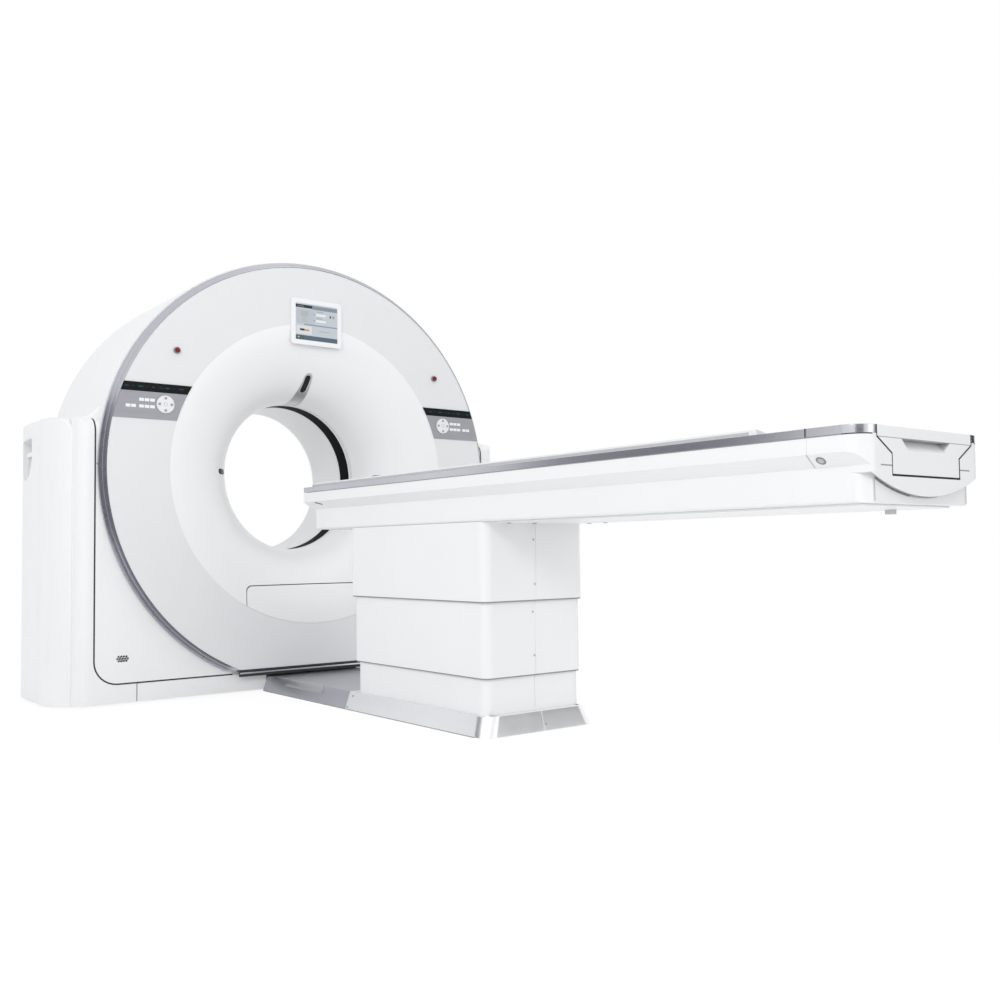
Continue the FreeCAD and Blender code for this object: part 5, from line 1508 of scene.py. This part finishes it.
@dataclass
class BaseFittings:
    """Cable cover, screws and a painted contact shadow along the skirt's foot, between pedestal and gantry.
    """

    floor_half: float = 0.2502
    slant: Point = (0.943, 0.0, 0.333)
    screws: tuple[Point, ...] = ((0.2312, -0.7236, 0.0535), (0.2464, -0.7040, 0.0105))
    screw_radius: float = 0.0035
    line_z: float = 0.0016
    line_ends: tuple[float, float] = (0.02, -1.540)
    cable_x: float = -0.2326
    cable_z: float = 0.0560
    cable_ends: tuple[float, float] = (-0.170, -0.478)

    def build(self) -> None:
        """Makes the fittings of the base."""
        for side in Side:
            sign, tag = side.value, side.tag
            out = (sign * self.slant[0], 0.0, self.slant[2])
            # Grey strip painted as the contact shadow where the skirt meets the floor.
            line = Workshop.seam(
                "floor_line_" + tag,
                [(sign * self.floor_half, y, self.line_z) for y in self.line_ends],
                0.0030, 0.0008, out,
            )
            Workshop.fit(line, GREY_LINE, "frame")
            for index, (x, y, z) in enumerate(self.screws):
                foot = (sign * x, y, z)
                screw = Workshop.stud(f"skirt_screw_{tag}_{index}", foot, out, self.screw_radius, 0.001, 10)
                Workshop.fit(screw, GREY_LINE, "frame")
        cover = Workshop.seam(
            "cable_cover", [(self.cable_x, y, self.cable_z) for y in self.cable_ends],
            0.034, 0.010, (-self.slant[0], 0.0, self.slant[2]),
        )
        Workshop.round_edges(cover, 0.003, 2, lambda a, b: True)
        Workshop.fit(cover, LASER_METAL, "frame")
        foot, out = (0.0200, -1.5905, 0.0222), (0, -0.95, 0.3)
        end = Workshop.stud("skirt_end_screw", foot, out, self.screw_radius, 0.001, 10)
        Workshop.fit(end, GREY_LINE, "frame")


# ---- studio ---------------------------------------------------------------------------------


@dataclass
class Studio:
    """Plain floor, soft light and the photograph's camera."""

    eye: Point = (-2.3146, -4.3279, 0.6130)
    azimuth: float = 38.107
    tilt: float = 2.801
    roll: float = -0.703
    lens: float = 37.583
    floor_half: float = 60.0
    floor_shade: float = 0.95
    floor_glow: float = 1.035
    glow_share: float = 0.86
    soft_level: float = 0.82

    def camera(self) -> None:
        """Places the camera as fitted to the photograph."""
        a, t, r = (math.radians(v) for v in (self.azimuth, self.tilt, self.roll))
        ahead = Vector((math.sin(a) * math.cos(t), math.cos(a) * math.cos(t), math.sin(t)))
        right = Vector((math.cos(a), -math.sin(a), 0.0))
        up = right.cross(ahead)
        turned_right = right * math.cos(r) + up * math.sin(r)
        turned_up = up * math.cos(r) - right * math.sin(r)
        data = bpy.data.cameras.new("camera")
        data.lens, data.sensor_width = self.lens, 36.0
        data.clip_end = 300.0
        camera = bpy.data.objects.new("camera", data)
        bpy.context.scene.collection.objects.link(camera)
        axes = Matrix((turned_right, turned_up, -ahead)).transposed().to_4x4()
        camera.matrix_world = Matrix.Translation(self.eye) @ axes
        bpy.context.scene.camera = camera

    def world(self) -> None:
        """White surroundings for the lens and for gloss, a softer level for matt surfaces."""
        world = bpy.data.worlds.new("studio")
        bpy.context.scene.world = world
        world.use_nodes = True
        nodes = world.node_tree.nodes
        nodes.clear()
        wiring = Wiring(world.node_tree)
        path = wiring.node("LightPath").outputs
        seen = wiring.math("MAXIMUM", path["Is Camera Ray"], path["Is Glossy Ray"])
        seen_all = wiring.math("MAXIMUM", seen, path["Is Transmission Ray"])
        soft = wiring.node("Background", Color=(0.96, 0.98, 1.0, 1.0), Strength=self.soft_level)
        white = wiring.node("Background", Color=(1.0, 1.0, 1.0, 1.0))
        wiring.join(wiring.shaders(seen_all, soft, white), wiring.node("OutputWorld").inputs[0])

    def floor(self) -> None:
        """Pale floor that shows white and keeps the object's shadow."""
        Workshop.clear()
        bpy.ops.mesh.primitive_plane_add(size=2 * self.floor_half, location=(0.0, 0.0, 0.0))
        floor = Workshop.named("floor")
        material = bpy.data.materials.new("studio floor")
        material.use_nodes = True
        wiring, nodes = Wiring(material.node_tree), material.node_tree.nodes
        shader = nodes["Principled BSDF"]
        shade = self.floor_shade
        wiring.join((shade, shade, shade, 1.0), shader.inputs["Base Color"])
        wiring.join(0.7, shader.inputs["Roughness"])
        glow = wiring.node("Emission", Strength=self.floor_glow)
        path = wiring.node("LightPath").outputs
        seen = wiring.math("MAXIMUM", path["Is Camera Ray"], path["Is Glossy Ray"])
        share = wiring.math("MULTIPLY", seen, self.glow_share)
        wiring.join(wiring.shaders(share, shader, glow), nodes["Material Output"].inputs[0])
        Workshop.paint(floor, material)

    def curtain(
        self, name: str, spot: Point, turn: float, width: float, height: float,
        shade: float = 0.06, lean: float = 90.0,
    ) -> None:
        """Dark curtain beside the object that only gloss sees, for the metal's shading.

        Args:
            name: name of the curtain.
            spot: its middle.
            turn: its turn about the vertical, in degrees, from facing along Y.
            width: its width.
            height: its height.
            shade: how light its grey is.
            lean: its turn out of the level, in degrees; 90 is upright.
        """
        Workshop.clear()
        bpy.ops.mesh.primitive_plane_add(
            size=1.0, location=spot, rotation=(math.radians(lean), 0.0, math.radians(turn))
        )
        bpy.context.object.scale = (width, height, 1.0)
        curtain = Workshop.named(name)
        Workshop.paint(curtain, Finish(name, (shade, shade, shade * 1.1), 0.9, tone=0.0).build())
        curtain.visible_camera = curtain.visible_diffuse = curtain.visible_shadow = False

    def lamp(self, name: str, spot: Point, aim: Point, size: float, power: float) -> None:
        """Large soft lamp aimed at a point.

        Args:
            name: name of the lamp.
            spot: its place.
            aim: the point that it faces.
            size: side of its square.
            power: its power in watts.
        """
        data = bpy.data.lights.new(name, "AREA")
        data.size, data.energy = size, power
        lamp = bpy.data.objects.new(name, data)
        bpy.context.scene.collection.objects.link(lamp)
        lamp.location = spot
        lamp.rotation_mode = "QUATERNION"
        lamp.rotation_quaternion = (Vector(aim) - Vector(spot)).to_track_quat("-Z", "Y")
        lamp.visible_camera = False

    def build(self) -> None:
        """Sets up the whole studio."""
        self.world()
        self.floor()
        self.lamp("key lamp", (-5.0, -4.5, 4.0), (0.0, -0.5, 0.9), 2.0, 105.0)
        self.lamp("top lamp", (1.0, -2.0, 5.2), (0.0, -1.0, 0.8), 5.0, 30.0)
        self.lamp("front lamp", (2.0, -7.5, 2.2), (0.0, -1.0, 0.8), 3.0, 20.0)
        self.curtain("side curtain", (-2.4, -0.25, 1.04), 90.0, 2.1, 2.04, 0.26)
        self.curtain("side carpet", (-1.41, -0.485, 0.002), 0.0, 1.98, 1.03, 0.26, 0.0)
        self.curtain("corner curtain", (-2.0, -5.7, 1.18), -33.0, 2.4, 0.8)
        self.curtain("end curtain", (1.9, -3.6, 0.98), 40.0, 1.8, 0.9)
        self.camera()
        bpy.context.scene.view_settings.view_transform = "Standard"
        LOG.info("studio ready")


def main() -> None:
    """Builds every sub-assembly in order."""
    logging.basicConfig(level=logging.INFO, format="%(name)s: %(message)s")
    Housing().build()
    BellMouth().build()
    TouchScreen().build()
    StatusStrips().build()
    TrimRing().build()
    GantrySeams().build()
    PadMarks().build()
    TableFittings().build()
    PedestalFittings().build()
    BaseFittings().build()
    Studio().build()


if __name__ == "__main__":
    main()
